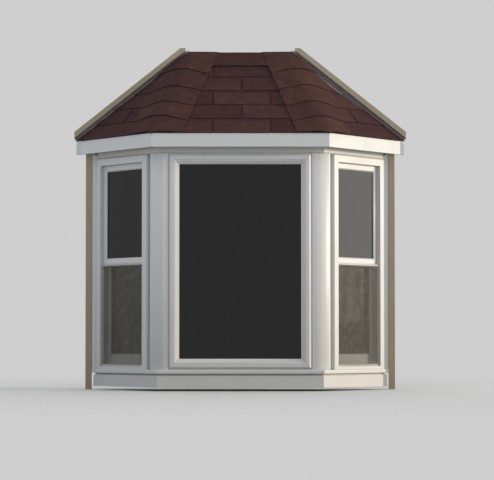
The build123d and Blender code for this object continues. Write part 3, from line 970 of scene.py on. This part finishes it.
def solid_boxes(node: str, facing: Facing) -> list[tuple[Vector, Vector]]:
    """Boxes of a node's solids on one side of the bay, in the axes of a face.

    Args:
        node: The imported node's name.
        facing: The face whose axes are used, and the side that its solids stand on.

    Returns:
        Lowest and highest corner of each solid, from the lowest solid up.
    """
    mesh = bmesh.new()
    mesh.from_mesh(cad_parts[node].data)
    bmesh.ops.remove_doubles(mesh, verts=mesh.verts, dist=WELD)
    back = facing.turn.inverted()
    waiting = set(mesh.verts)
    boxes = []
    while waiting:
        reached = [waiting.pop()]
        points = []
        while reached:
            vert = reached.pop()
            points.append(back @ vert.co if vert.co.x * facing.value >= 0 else None)
            for edge in vert.link_edges:
                other = edge.other_vert(vert)
                if other in waiting:
                    waiting.remove(other)
                    reached.append(other)
        if None not in points:
            low = Vector([min(point[axis] for point in points) for axis in range(3)])
            high = Vector([max(point[axis] for point in points) for axis in range(3)])
            boxes.append((low, high))
    mesh.free()
    return sorted(boxes, key=lambda box: box[0].z)


def round_arrises(made: bpy.types.Object, radius: float) -> None:
    """Rounds a piece's sharp edges a little, as extruded and sawn edges are.

    Args:
        made: The piece.
        radius: Width of the rounding.
    """
    weld = made.modifiers.new("weld", "WELD")
    weld.merge_threshold = WELD
    bevel = made.modifiers.new("arris", "BEVEL")
    bevel.width = radius
    bevel.segments = 2
    bevel.limit_method = "ANGLE"
    bevel.angle_limit = ARRIS_ANGLE
    bevel.use_clamp_overlap = True
    bevel.harden_normals = True


def dress(node: str, finish: bpy.types.Material, arris: float = 0.0) -> None:
    """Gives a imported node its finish.

    Args:
        node: The node's name.
        finish: Its material.
        arris: Width of the rounding on its sharp edges, or 0 for none.
    """
    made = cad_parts[node]
    made.data.materials.clear()
    made.data.materials.append(finish)
    if arris:
        round_arrises(made, arris)
    log.info("%s dressed in %s", node, finish.name)


@dataclass
class ShingleField:
    """Courses of three-tab shingles on one roof plane."""

    shape: BayShape
    facing: Facing
    exposure: float = 0.1095
    overhang: float = 0.002
    courses: int = 5
    tab_pitch: float = 0.297
    first_slot: float = 0.157
    slot_width: float = 0.009
    butt_height: float = 0.007
    tail_height: float = 0.003
    headlap_height: float = 0.0006
    headlap_drop: float = 0.0002
    headlap_bed: float = 0.0001
    headlap_tone: float = 0.15
    thickness: float = 0.0026
    hip_gap: float = 0.028
    tuck: float = 0.018
    sag: float = 0.0007
    skew: float = 0.0012
    ripple: float = 0.00025
    ragged: float = 0.0006
    rows: int = 6
    columns: int = 9
    end_tab: float = 0.060
    wall_gaps: tuple[float, ...] = (0.002, 0.002, 0.002, 0.002, 0.002)
    rng: Random = field(default_factory=lambda: Random(11))

    def height(self, up: float) -> float:
        """Height of a shingle's face above the sheathing.

        Args:
            up: Distance up the slope from the shingle's butt.

        Returns:
            The height.
        """
        if up <= self.exposure:
            return self.butt_height + (self.tail_height - self.butt_height) * up / self.exposure
        share = min((up - self.exposure) / self.exposure, 1)
        return self.tail_height + (self.headlap_height - self.tail_height) * share

    def tab(
        self, blank: Blank, plane: RoofPlane, start: float, stop: float, butt: float, length: float
    ) -> None:
        """Adds one tab.

        Args:
            blank: The mesh that it goes into.
            plane: The roof plane.
            start: Where it starts along the eave.
            stop: Where it stops along the eave.
            butt: Distance of its lower edge up the slope.
            length: How far it runs up the slope.
        """
        tone = self.rng.random()
        skew = self.rng.uniform(-self.skew, self.skew)
        lift = self.rng.uniform(-self.sag, 0)
        curl = [self.rng.uniform(-self.sag, 0) for _ in range(2)]
        points = []
        for up_share, share in grid(self.rows, self.columns):
            across = start + (stop - start) * share
            up = length * up_share
            wave = self.rng.uniform(-self.ripple, 0) + lift + curl[0] * (1 - share) + curl[1] * share
            out = self.height(up) + wave * (1 - up_share)
            ragged = self.rng.uniform(-self.ragged, self.ragged) if up_share == 0 else 0.0
            place = butt + up + skew * (share - 0.5) + ragged
            low = max(out - self.thickness, self.headlap_height / 2)
            points.append((plane.at(across, place, out), plane.at(across, place, low)))
        blank.sheet(points, self.columns, tone)

    def headlap(self, blank: Blank, plane: RoofPlane, start: float, stop: float, butt: float) -> None:
        """Adds the unbroken upper part of a course, which shows through the slots of the next one.

        Args:
            blank: The mesh that it goes into.
            plane: The roof plane.
            start: Where it starts along the eave.
            stop: Where it stops along the eave.
            butt: Distance of the course's lower edge up the slope.
        """
        points = []
        for up in (self.exposure - self.tuck, self.exposure, 2 * self.exposure):
            out = self.height(up) - self.headlap_drop
            for across in (start, stop):
                low = plane.at(across, butt + up, self.headlap_bed)
                points.append((plane.at(across, butt + up, out), low))
        blank.sheet(points, 2, self.headlap_tone)

    def slot_end(self, plane: RoofPlane, butt: float) -> float:
        """Place along the eave past which a course has no slot, so that its last tab is no sliver."""
        by_wall = plane.by_wall(self.end_tab, butt + self.exposure, 0)
        return (by_wall - plane.origin).dot(plane.across)

    def build(self, finishes: Finishes) -> None:
        """Builds the field, trimmed to its hips, the wall and its eave.

        Args:
            finishes: The bay's finishes.
        """
        plane = RoofPlane.of(self.shape, self.facing)
        blank = Blank()
        front = self.facing is Facing.FRONT
        wide = 2 * self.shape.eave_half if front else self.shape.eave_front / cos(BAY_TURN) + self.butt_height
        first, last = (-wide, 0.0) if front else (0.0, wide)
        self.headlap(blank, plane, first, last, -self.overhang - self.exposure)
        starter_butt = plane.at(0, self.butt_height - self.overhang, 0)
        blank.trim([(starter_butt, -plane.up), *self.limits(self.wall_gaps[0])])
        for course in range(self.courses):
            done = blank.faces()
            butt = -self.overhang + course * self.exposure
            top_course = course == self.courses - 1
            length = self.shape.slope_length - butt if top_course else self.exposure + self.tuck
            shift = self.tab_pitch / 2 * (course % 2)
            slot = self.first_slot - self.shape.eave_half + shift if front else self.first_slot + shift
            while slot > first:
                slot -= self.tab_pitch
            slot_end = last if front else self.slot_end(plane, butt)
            edge = first
            while edge < last:
                slot += self.tab_pitch if slot <= edge else 0.0
                stop = slot - self.slot_width / 2 if slot < slot_end else last
                if stop - edge > self.slot_width:
                    self.tab(blank, plane, edge, stop, butt, length)
                edge = stop + self.slot_width
            if not top_course:
                self.headlap(blank, plane, first, last, butt)
            blank.trim(self.limits(self.wall_gaps[course]), done)
        if self.facing is Facing.LEFT:
            blank.mirror()
        label = self.facing.label
        blank.piece("shingle_courses_" + label, finishes.granules, "shingle", "shingles_" + label)

    def limits(self, gap: float) -> list[CutPlane]:
        """Planes that a course stops at, short of its hips and at a gap from the wall."""
        return [*RoofPlane.hip_stops(self.shape, self.facing, self.hip_gap), wall_cut(gap)]


@dataclass
class HipCaps:
    """Caps folded over one hip, each lapping the one below."""

    shape: BayShape
    facing: Facing
    laps: tuple[float, ...] = (0.132, 0.264, 0.396, 0.528)
    width: float = 0.158
    crest_butt: float = 0.0168
    crest_tail: float = 0.0110
    side_butt: float = 0.0115
    side_tail: float = 0.0080
    thickness: float = 0.0036
    fold: float = 0.055
    tuck: float = 0.03
    skew: float = 0.003
    ripple: float = 0.0003
    rows: int = 7
    columns: int = 25
    # Caps are toned lighter than the field: partly their own lighter blend, partly painted light that their
    # rounded crests catch.
    tones: tuple[float, float] = (0.55, 1.0)
    rake_gaps: tuple[float, float] = (0.002, 0.002)
    rng: Random = field(default_factory=lambda: Random(23))

    def build(self, finishes: Finishes) -> None:
        """Builds the hip's caps from the eave to the wall.

        Args:
            finishes: The bay's finishes.
        """
        length = (self.shape.ridge_corner - self.shape.eave_corner).length
        blank = Blank()
        for start, stop in zip((-self.width, *self.laps), (*self.laps, length + self.width)):
            self.cap(blank, start, stop + self.tuck)
        flank = Facing.RIGHT.turn @ -Y_AXIS
        reach = self.shape.shingle_front
        corner_point = Vector((self.shape.corner_half, -self.shape.unit_front, 0))
        flank_point = corner_point + flank * (reach - self.shape.unit_front)
        blank.trim([wall_cut(self.shape.wall_gap), (Y_AXIS * -reach, -Y_AXIS), (flank_point, flank)])
        side = RoofPlane.of(self.shape, Facing.RIGHT)
        rake_foot = side.by_wall(self.rake_gaps[0], 0, 0)
        rake_head = side.by_wall(self.rake_gaps[1], self.shape.slope_length, 0)
        rake_cut = (rake_head, (rake_head - rake_foot).cross(side.out))
        top_cut = (Z_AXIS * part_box("hip_caps")[1].z, Z_AXIS)
        blank.trim([rake_cut, top_cut])
        if self.facing is Facing.LEFT:
            blank.mirror()
        blank.piece("hip_cap_course_" + self.facing.label, finishes.granules, "shingle", "hip_caps")

    def cap(self, blank: Blank, start: float, stop: float) -> None:
        """Adds one folded cap.

        Args:
            blank: The mesh that it goes into.
            start: Distance of its butt up the hip.
            stop: Distance of its hidden end up the hip.
        """
        front = RoofPlane.of(self.shape, Facing.FRONT)
        side = RoofPlane.of(self.shape, Facing.RIGHT)
        hip = (self.shape.ridge_corner - self.shape.eave_corner).normalized()
        to_front = front.out.cross(hip).normalized()
        to_side = hip.cross(side.out).normalized()
        tone = self.rng.uniform(*self.tones)
        skew = self.rng.uniform(-self.skew, self.skew)
        points = []
        for up_share, share in grid(self.rows, self.columns):
            reach = (2 * share - 1) * self.width
            base, out = self.folded(reach, to_front, to_side, front.out, side.out)
            crown = (1 - (abs(reach) / self.width) ** 2) ** 2
            butt_height = self.side_butt + (self.crest_butt - self.side_butt) * crown
            tail_height = self.side_tail + (self.crest_tail - self.side_tail) * crown
            height = butt_height + (tail_height - butt_height) * up_share - self.rng.uniform(0, self.ripple)
            sweep = skew * reach / self.width * (1 - up_share)
            along = start + (stop - start) * up_share + sweep
            point = self.shape.eave_corner + hip * along + base
            points.append((point + out * height, point + out * (height - self.thickness)))
        blank.sheet(points, self.columns, tone)

    def folded(
        self, reach: float, to_front: Vector, to_side: Vector, front_out: Vector, side_out: Vector
    ) -> tuple[Vector, Vector]:
        """Point and outward direction at a distance from the fold, on the sheathing's planes.

        Args:
            reach: Distance from the fold, towards the front where negative.
            to_front: Direction from the fold down the front plane.
            to_side: Direction from the fold down the side plane.
            front_out: The front plane's outward direction.
            side_out: The side plane's outward direction.

        Returns:
            The point from the hip line, and the direction.
        """
        share = min(max(reach / self.fold, -1), 1) / 2 + 0.5
        out = (front_out * (1 - share) + side_out * share).normalized()
        if abs(reach) >= self.fold:
            return (to_side if reach > 0 else to_front) * abs(reach), out
        base = to_front * self.fold * (1 - share) ** 2 + to_side * self.fold * share**2
        return base, out


@dataclass
class RidgeStrip:
    """Strip of shingle along the top of the front plane, under the siding."""

    shape: BayShape
    width: float = 0.104
    lead: float = 0.007
    low_height: float = 0.0102
    high_height: float = 0.0080
    thickness: float = 0.0035
    hip_gap: float = 0.090
    ragged: float = 0.0008
    ripple: float = 0.0006
    rows: int = 4
    columns: int = 33
    tone: float = 0.35
    rng: Random = field(default_factory=lambda: Random(5))

    def build(self, finishes: Finishes) -> None:
        """Builds the strip between the hips.

        Args:
            finishes: The bay's finishes.
        """
        plane = RoofPlane.of(self.shape, Facing.FRONT)
        blank = Blank()
        start = self.shape.slope_length - self.width
        points = []
        for up_share, share in grid(self.rows, self.columns):
            across = -2 * self.shape.eave_half * (1 - share)
            ragged = self.rng.uniform(-self.ragged, self.ragged) if up_share == 0 else 0.0
            place = start + (self.width + self.lead) * up_share + ragged
            out = self.low_height + (self.high_height - self.low_height) * up_share
            out -= self.rng.uniform(0, self.ripple)
            points.append((plane.at(across, place, out), plane.at(across, place, out - self.thickness)))
        blank.sheet(points, self.columns, self.tone)
        stops = RoofPlane.hip_stops(self.shape, Facing.FRONT, self.hip_gap)
        blank.trim([*stops, wall_cut(self.shape.wall_gap)])
        blank.piece("ridge_strip_course", finishes.granules, "shingle", "ridge_strip")


@dataclass
class StepFlashing:
    """Folded metal steps up one rake, each lapping the one below, and a leaf past the ridge."""

    shingles: ShingleField
    side_lap: float = 0.055
    end_lap: float = 0.030
    upstand: float = 0.040
    metal: float = 0.0005
    top_step: float = 0.009
    ridge_lap: float = 0.016
    ridge_rise: float = 0.003
    start_step: float = 0.006

    def build(self, finishes: Finishes) -> None:
        """Builds the rake's steps.

        Args:
            finishes: The bay's finishes.
        """
        shingles, shape = self.shingles, self.shingles.shape
        plane = RoofPlane.of(shape, Facing.RIGHT)
        rake = (plane.by_wall(0, 1, 0) - plane.by_wall(0, 0, 0)).normalized()
        upward = Vector((rake.z, 0, -rake.x))
        blank = Blank()
        for course in range(shingles.courses):
            butt = -shingles.overhang + course * shingles.exposure
            top_course = course == shingles.courses - 1
            length = shape.slope_length - butt if top_course else shingles.exposure + self.end_lap
            self.deck_leg(blank, plane, butt, length)
            self.wall_leg(blank, plane, upward, butt, length)
        eave = plane.at(0, self.start_step - shingles.overhang, 0)
        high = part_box("step_flashings")[1]
        end = X_AXIS * (shape.ridge_half + self.top_step)
        blank.trim([(eave, -plane.up), (high, X_AXIS), (high, Z_AXIS), (end, -X_AXIS)])
        steps = blank.faces()
        self.wall_leg(blank, plane, upward, shape.slope_length - self.upstand, 2 * self.upstand)
        leaf_end = X_AXIS * (shape.ridge_half - self.ridge_lap)
        leaf_top = Z_AXIS * (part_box("hip_caps")[1].z + self.ridge_rise)
        blank.trim([(end, X_AXIS), (leaf_end, -X_AXIS), (leaf_top, Z_AXIS)], steps)
        if shingles.facing is Facing.LEFT:
            blank.mirror()
        name = "step_flashing_" + shingles.facing.label
        blank.piece(name, finishes.flashing, "flashing", "step_flashings")

    def deck_leg(self, blank: Blank, plane: RoofPlane, butt: float, length: float) -> None:
        """Adds a step's leg on the roof, under its course.

        Args:
            blank: The mesh that it goes into.
            plane: The roof plane.
            butt: Distance of the course's lower edge up the slope.
            length: How far the step runs up the slope.
        """
        points = []
        for up in (self.start_step, self.shingles.exposure, length):
            under = self.shingles.height(up) - self.shingles.thickness - self.metal / 2
            out = max(under, self.shingles.headlap_height + self.metal)
            for gap in (self.side_lap, self.shingles.shape.wall_gap):
                low = plane.by_wall(gap, butt + up, out - self.metal)
                points.append((plane.by_wall(gap, butt + up, out), low))
        blank.sheet(points, 2, PLAIN_TONE)

    def wall_leg(self, blank: Blank, plane: RoofPlane, upward: Vector, butt: float, length: float) -> None:
        """Adds a step's leg on the wall, its lower end over the step below.

        Args:
            blank: The mesh that it goes into.
            plane: The roof plane.
            upward: Direction on the wall, square to the rake.
            butt: Distance of the course's lower edge up the slope.
            length: How far the step runs up the slope.
        """
        wall_gap = self.shingles.shape.wall_gap
        rise, inner = upward * self.upstand, Y_AXIS * self.metal
        points = []
        for up, gap in ((0.0, wall_gap), (length, wall_gap / 2)):
            foot = plane.by_wall(gap, butt + up, 0)
            points += [(foot, foot + inner), (foot + rise, foot + rise + inner)]
        blank.sheet(points, 2, PLAIN_TONE)


@dataclass
class SealedUnit:
    """Two panes with a metal spacer between their edges."""

    name: str
    node: str
    low: Vector
    high: Vector
    facing: Facing
    pane: float = 0.003
    spacer: float = 0.008
    inset: float = 0.001
    slack: float = 0.0001

    def build(self, finishes: Finishes) -> None:
        """Builds the outer pane, the inner pane and the spacer.

        Args:
            finishes: The bay's finishes.
        """
        low, high, turn = self.low, self.high, self.facing.turn
        panes = {"outer": (low.y, low.y + self.pane), "inner": (high.y - self.pane, high.y)}
        for word, (front, back) in panes.items():
            pane = Blank()
            pane.box(Vector((low.x, front, low.z)), Vector((high.x, back, high.z)), turn)
            pane.piece(f"{self.name}_{word}_pane", finishes.glass, "glass", self.node)
        front = self.pane + self.slack
        back = high.y - low.y - self.pane - self.slack
        edge = self.inset + self.spacer
        spacer = Blank()
        spacer.frame(low, high, [(self.inset, front), (self.inset, back), (edge, back), (edge, front)], turn)
        spacer.piece(self.name + "_spacer", finishes.spacer, "glass", self.node)


@dataclass
class InsectScreen:
    """Woven threads of one half screen and the cord that holds them in the frame."""

    facing: Facing
    upright_pitch: float = 0.0014
    level_pitch: float = 0.0016
    thread: float = 0.00028
    cord_radius: float = 0.0018
    cord_inset: float = 0.005

    def build(self, finishes: Finishes) -> None:
        """Builds the threads and the cord.

        Args:
            finishes: The bay's finishes.
        """
        low, high = solid_boxes("screen_mesh", self.facing)[0]
        turn = self.facing.turn
        middle = (low.y + high.y) / 2
        half = self.thread / 2
        blank = Blank()
        for number in range(1, int((high.x - low.x) / self.upright_pitch)):
            x = low.x + number * self.upright_pitch
            start = Vector((x - half, middle - self.thread, low.z))
            blank.box(start, Vector((x + half, middle, high.z)), turn)
        for number in range(1, int((high.z - low.z) / self.level_pitch)):
            z = low.z + number * self.level_pitch
            start = Vector((low.x, middle, z - half))
            blank.box(start, Vector((high.x, middle + self.thread, z + half)), turn)
        blank.piece("screen_threads_" + self.facing.label, finishes.thread, "mesh", "screen_mesh")
        bar_low, bar_high = solid_boxes("screen_frame_" + self.facing.label, self.facing)[0]
        reach = low.x - bar_low.x - self.cord_inset
        outline_low = Vector((bar_low.x + reach, bar_low.y, bar_low.z + reach))
        outline_high = Vector((bar_high.x - reach, bar_high.y, bar_high.z - reach))
        radius = self.cord_radius
        steps = [radians(degrees) for degrees in (180, 135, 90, 45, 0)]
        section = [(radius * (1 - cos(step)), -radius * sin(step)) for step in steps]
        cord = Blank()
        cord.frame(outline_low, outline_high, section, turn)
        cord.piece("screen_cord_" + self.facing.label, finishes.seal, "mesh")


@dataclass
class CentreLight:
    """The fixed middle window."""

    arris: float = 0.0008

    def build(self, finishes: Finishes) -> None:
        """Dresses the frame and bead and glazes the light.

        Args:
            finishes: The bay's finishes.
        """
        for node, finish in (("centre_frame", finishes.frame_finish), ("centre_bead", finishes.sash_finish)):
            dress(node, finishes.welded(node, Facing.FRONT, finish), self.arris)
        low, high = solid_boxes("centre_glass", Facing.FRONT)[0]
        SealedUnit("centre", "centre_glass", low, high, Facing.FRONT).build(finishes)


@dataclass
class SideLight:
    """One double-hung side window with its half screen."""

    facing: Facing
    arris: float = 0.0008

    def build(self, finishes: Finishes) -> None:
        """Dresses the frame and sashes, glazes them and stretches the screen.

        Args:
            finishes: The bay's finishes.
        """
        label = self.facing.label
        frame_finish, sash = finishes.frame_finish, finishes.sash_finish
        for part, finish in (("side_frame_", frame_finish), ("upper_sash_", sash), ("lower_sash_", sash)):
            dress(part + label, finishes.welded(part + label, self.facing, finish), self.arris)
        dress("screen_frame_" + label, finishes.screen_paint, self.arris)
        for name, (low, high) in zip(("lower_", "upper_"), solid_boxes("sash_glass", self.facing)):
            SealedUnit(name + label, "sash_glass", low, high, self.facing).build(finishes)
        InsectScreen(self.facing).build(finishes)


@dataclass
class Casing:
    """Posts, seat, skirt, eaves trim and the channels at the wall."""

    arris: float = 0.0010

    def build(self, finishes: Finishes) -> None:
        """Dresses the posts, the outdoor trim, the seat board and the sash locks.

        Args:
            finishes: The bay's finishes.
        """
        for node in ("corner_posts", "wall_posts"):
            dress(node, finishes.frame_vinyl, self.arris)
        for part in ("skirt_", "fascia_"):
            for facing in Facing:
                dress(part + facing.label, finishes.trim_vinyl, self.arris)
        # The frieze and soffit take the darker vinyl, whose darkness is painted shade under the eaves.
        for node in ("frieze", "soffit"):
            dress(node, finishes.soffit_vinyl, self.arris)
        dress("seat_board", finishes.seat_wood)
        dress("sash_locks", finishes.sash_vinyl, self.arris / 2)
        dress("side_channels", finishes.channel)
        dress("rake_channels", finishes.rake_channel)


@dataclass
class Framing:
    """Timbers and boards that carry the bay, seen from below and from the wall side."""

    arris: float = 0.0015

    def build(self, finishes: Finishes) -> None:
        """Dresses the timbers, each with its grain along its length, and the boards.

        Args:
            finishes: The bay's finishes.
        """
        grains = {
            "wall_cleat": Grain.ACROSS,
            "platform_rails": Grain.ACROSS,
            "roof_plate": Grain.ACROSS,
            "roof_ledger": Grain.ACROSS,
            "common_rafters": Grain.COMMON,
            "hip_rafters": Grain.HIP,
            "jack_rafters": Grain.JACK,
            "wall_rafters": Grain.RAKE,
        }
        for node, grain in grains.items():
            dress(node, finishes.timber[grain], self.arris)
        dress("head_board", finishes.seat_wood)
        dress("jamb_boards", finishes.interior)
        for node in ("underside_panel", "sheathing_front", "sheathing_sides"):
            dress(node, finishes.strand_board)


@dataclass
class Studio:
    """Pale floor, soft light and the camera at the photograph's angle. Angles are in degrees."""

    camera_distance: float = 9.7
    camera_height: float = 0.206
    camera_reach: float = 500.0
    focal_pixels: float = 1826.0
    picture_width: float = 494.0
    aside_pixels: float = 6.8
    above_pixels: float = 99.3
    shifted_pixels: float = 40.0
    sensor: float = 36.0
    floor_gap: float = 0.002
    floor_solid: float = 1.4
    floor_radius: float = 4.2
    floor_pale: tuple[Colour, Colour] = ((0.75, 0.75, 0.74), (0.78, 0.78, 0.77))
    floor_bounce: Colour = (0.14, 0.13, 0.10)
    pale: float = 0.62
    world_level: float = 0.72
    world_colour: Colour = (0.93, 0.96, 1.0)
    key_level: float = 1.8
    key_colour: Colour = (1.0, 0.85, 0.60)
    key_turn: tuple[float, float] = (82, 81)
    key_spread: float = 9
    panel_power: float = 36.0
    panel_colour: Colour = (1.0, 0.95, 0.87)
    panel_turn: tuple[float, float] = (90, 90)
    panel_size: tuple[float, float] = (2.6, 1.8)
    panel_place: Triple = (5.0, -0.5, 1.25)

    def build(self) -> None:
        """Sets the floor, the world, the lamps and the camera."""
        self.floor()
        self.world()
        key = self.lamp("key", "SUN", self.key_level, self.key_colour, self.key_turn)
        key.data.angle = radians(self.key_spread)
        panel = self.lamp("side panel", "AREA", self.panel_power, self.panel_colour, self.panel_turn)
        panel.data.shape = "RECTANGLE"
        panel.data.size, panel.data.size_y = self.panel_size
        panel.location = self.panel_place
        panel.visible_camera = False
        self.camera()
        bpy.context.scene.view_settings.view_transform = "Standard"

    def floor(self) -> None:
        """Lays the pale floor just under the bay's lowest point."""
        level = cad_bounds[0][2] - self.floor_gap
        data = bpy.data.meshes.new("floor")
        reach = self.floor_radius
        plan = [(-reach, -reach), (reach, -reach), (reach, reach), (-reach, reach)]
        data.from_pydata([(x, y, level) for x, y in plan], [], [(0, 1, 2, 3)])
        made = placed("floor", data)
        graph = Graph(bpy.data.materials.new("pale floor"))
        pale = graph.blend(graph.noise(0.7, 3.0), *self.floor_pale)
        colour = graph.blend(graph.seen(), self.floor_bounce, pale)
        flat = graph.stretch(graph.place, (1.0, 1.0, 0.0))
        distance = graph.add("ShaderNodeVectorMath", {0: flat}, operation="LENGTH").outputs["Value"]
        solid = graph.band(distance, self.floor_solid, self.floor_radius, 1.0, 0.0)
        inputs = {"Base Color": colour, "Roughness": 0.9, "Specular IOR Level": 0.1, "Alpha": solid}
        data.materials.append(graph.surface(inputs))

    def world(self) -> None:
        """Lights evenly from all round, and shows a pale background."""
        world = bpy.data.worlds.new("studio")
        bpy.context.scene.world = world
        graph = Graph(world)
        light = graph.add("ShaderNodeBackground", {"Color": self.world_colour, "Strength": self.world_level})
        pale = graph.add("ShaderNodeBackground", {"Color": (self.pale, self.pale, self.pale)})
        mixed = graph.add("ShaderNodeMixShader", {0: graph.seen(), 1: light.outputs[0], 2: pale.outputs[0]})
        graph.add("ShaderNodeOutputWorld", {"Surface": mixed.outputs[0]})

    def lamp(
        self, name: str, kind: str, energy: float, colour: Colour, turn: tuple[float, float]
    ) -> bpy.types.Object:
        """Adds a lamp.

        Args:
            name: Its name.
            kind: The word for its kind.
            energy: Its strength.
            colour: Its colour.
            turn: Degrees that it is tilted up from straight down, and then turned from facing the wall.

        Returns:
            The lamp.
        """
        data = bpy.data.lights.new(name, kind)
        data.energy = energy
        data.color = colour
        made = placed(name, data)
        made.rotation_euler = (radians(turn[0]), 0, radians(turn[1]))
        return made

    def camera(self) -> None:
        """Sets the camera in front of the bay, tilted up a little, with the photo's crop as its shift."""
        data = bpy.data.cameras.new("camera")
        data.sensor_width = self.sensor
        data.lens = self.focal_pixels / self.picture_width * self.sensor
        data.shift_x = self.aside_pixels / self.picture_width
        data.shift_y = self.shifted_pixels / self.picture_width
        data.clip_end = self.camera_reach
        made = placed("camera", data)
        made.location = (0, -self.camera_distance, self.camera_height)
        tilt = atan2(self.above_pixels - self.shifted_pixels, self.focal_pixels)
        made.rotation_euler = (radians(90) + tilt, 0, 0)
        bpy.context.scene.camera = made


def main() -> None:
    """Builds the bay's looks, sub-assembly by sub-assembly, and the studio around it."""
    logging.basicConfig(level=logging.INFO, format="%(name)s: %(message)s")
    shape = BayShape.from_frame()
    finishes = Finishes(shape)
    Studio().build()
    ShingleField(shape, Facing.FRONT).build(finishes)
    right_gaps = (0.003, 0.007, 0.020, 0.034, 0.034)
    left_gaps = (0.002, 0.003, 0.002, 0.004, 0.003)
    right_field = ShingleField(shape, Facing.RIGHT, first_slot=0.145, wall_gaps=right_gaps, rng=Random(12))
    left_field = ShingleField(shape, Facing.LEFT, first_slot=0.140, wall_gaps=left_gaps, rng=Random(13))
    for side_field in (right_field, left_field):
        side_field.build(finishes)
        StepFlashing(side_field).build(finishes)
    right_laps, left_laps = (0.131, 0.252, 0.386, 0.522), (0.136, 0.250, 0.377, 0.520)
    HipCaps(shape, Facing.RIGHT, right_laps, rake_gaps=(0.100, 0.003)).build(finishes)
    HipCaps(shape, Facing.LEFT, left_laps, rng=Random(29)).build(finishes)
    RidgeStrip(shape).build(finishes)
    CentreLight().build(finishes)
    SideLight(Facing.RIGHT).build(finishes)
    SideLight(Facing.LEFT).build(finishes)
    Casing().build(finishes)
    Framing().build(finishes)


if __name__ == "__main__":
    main()
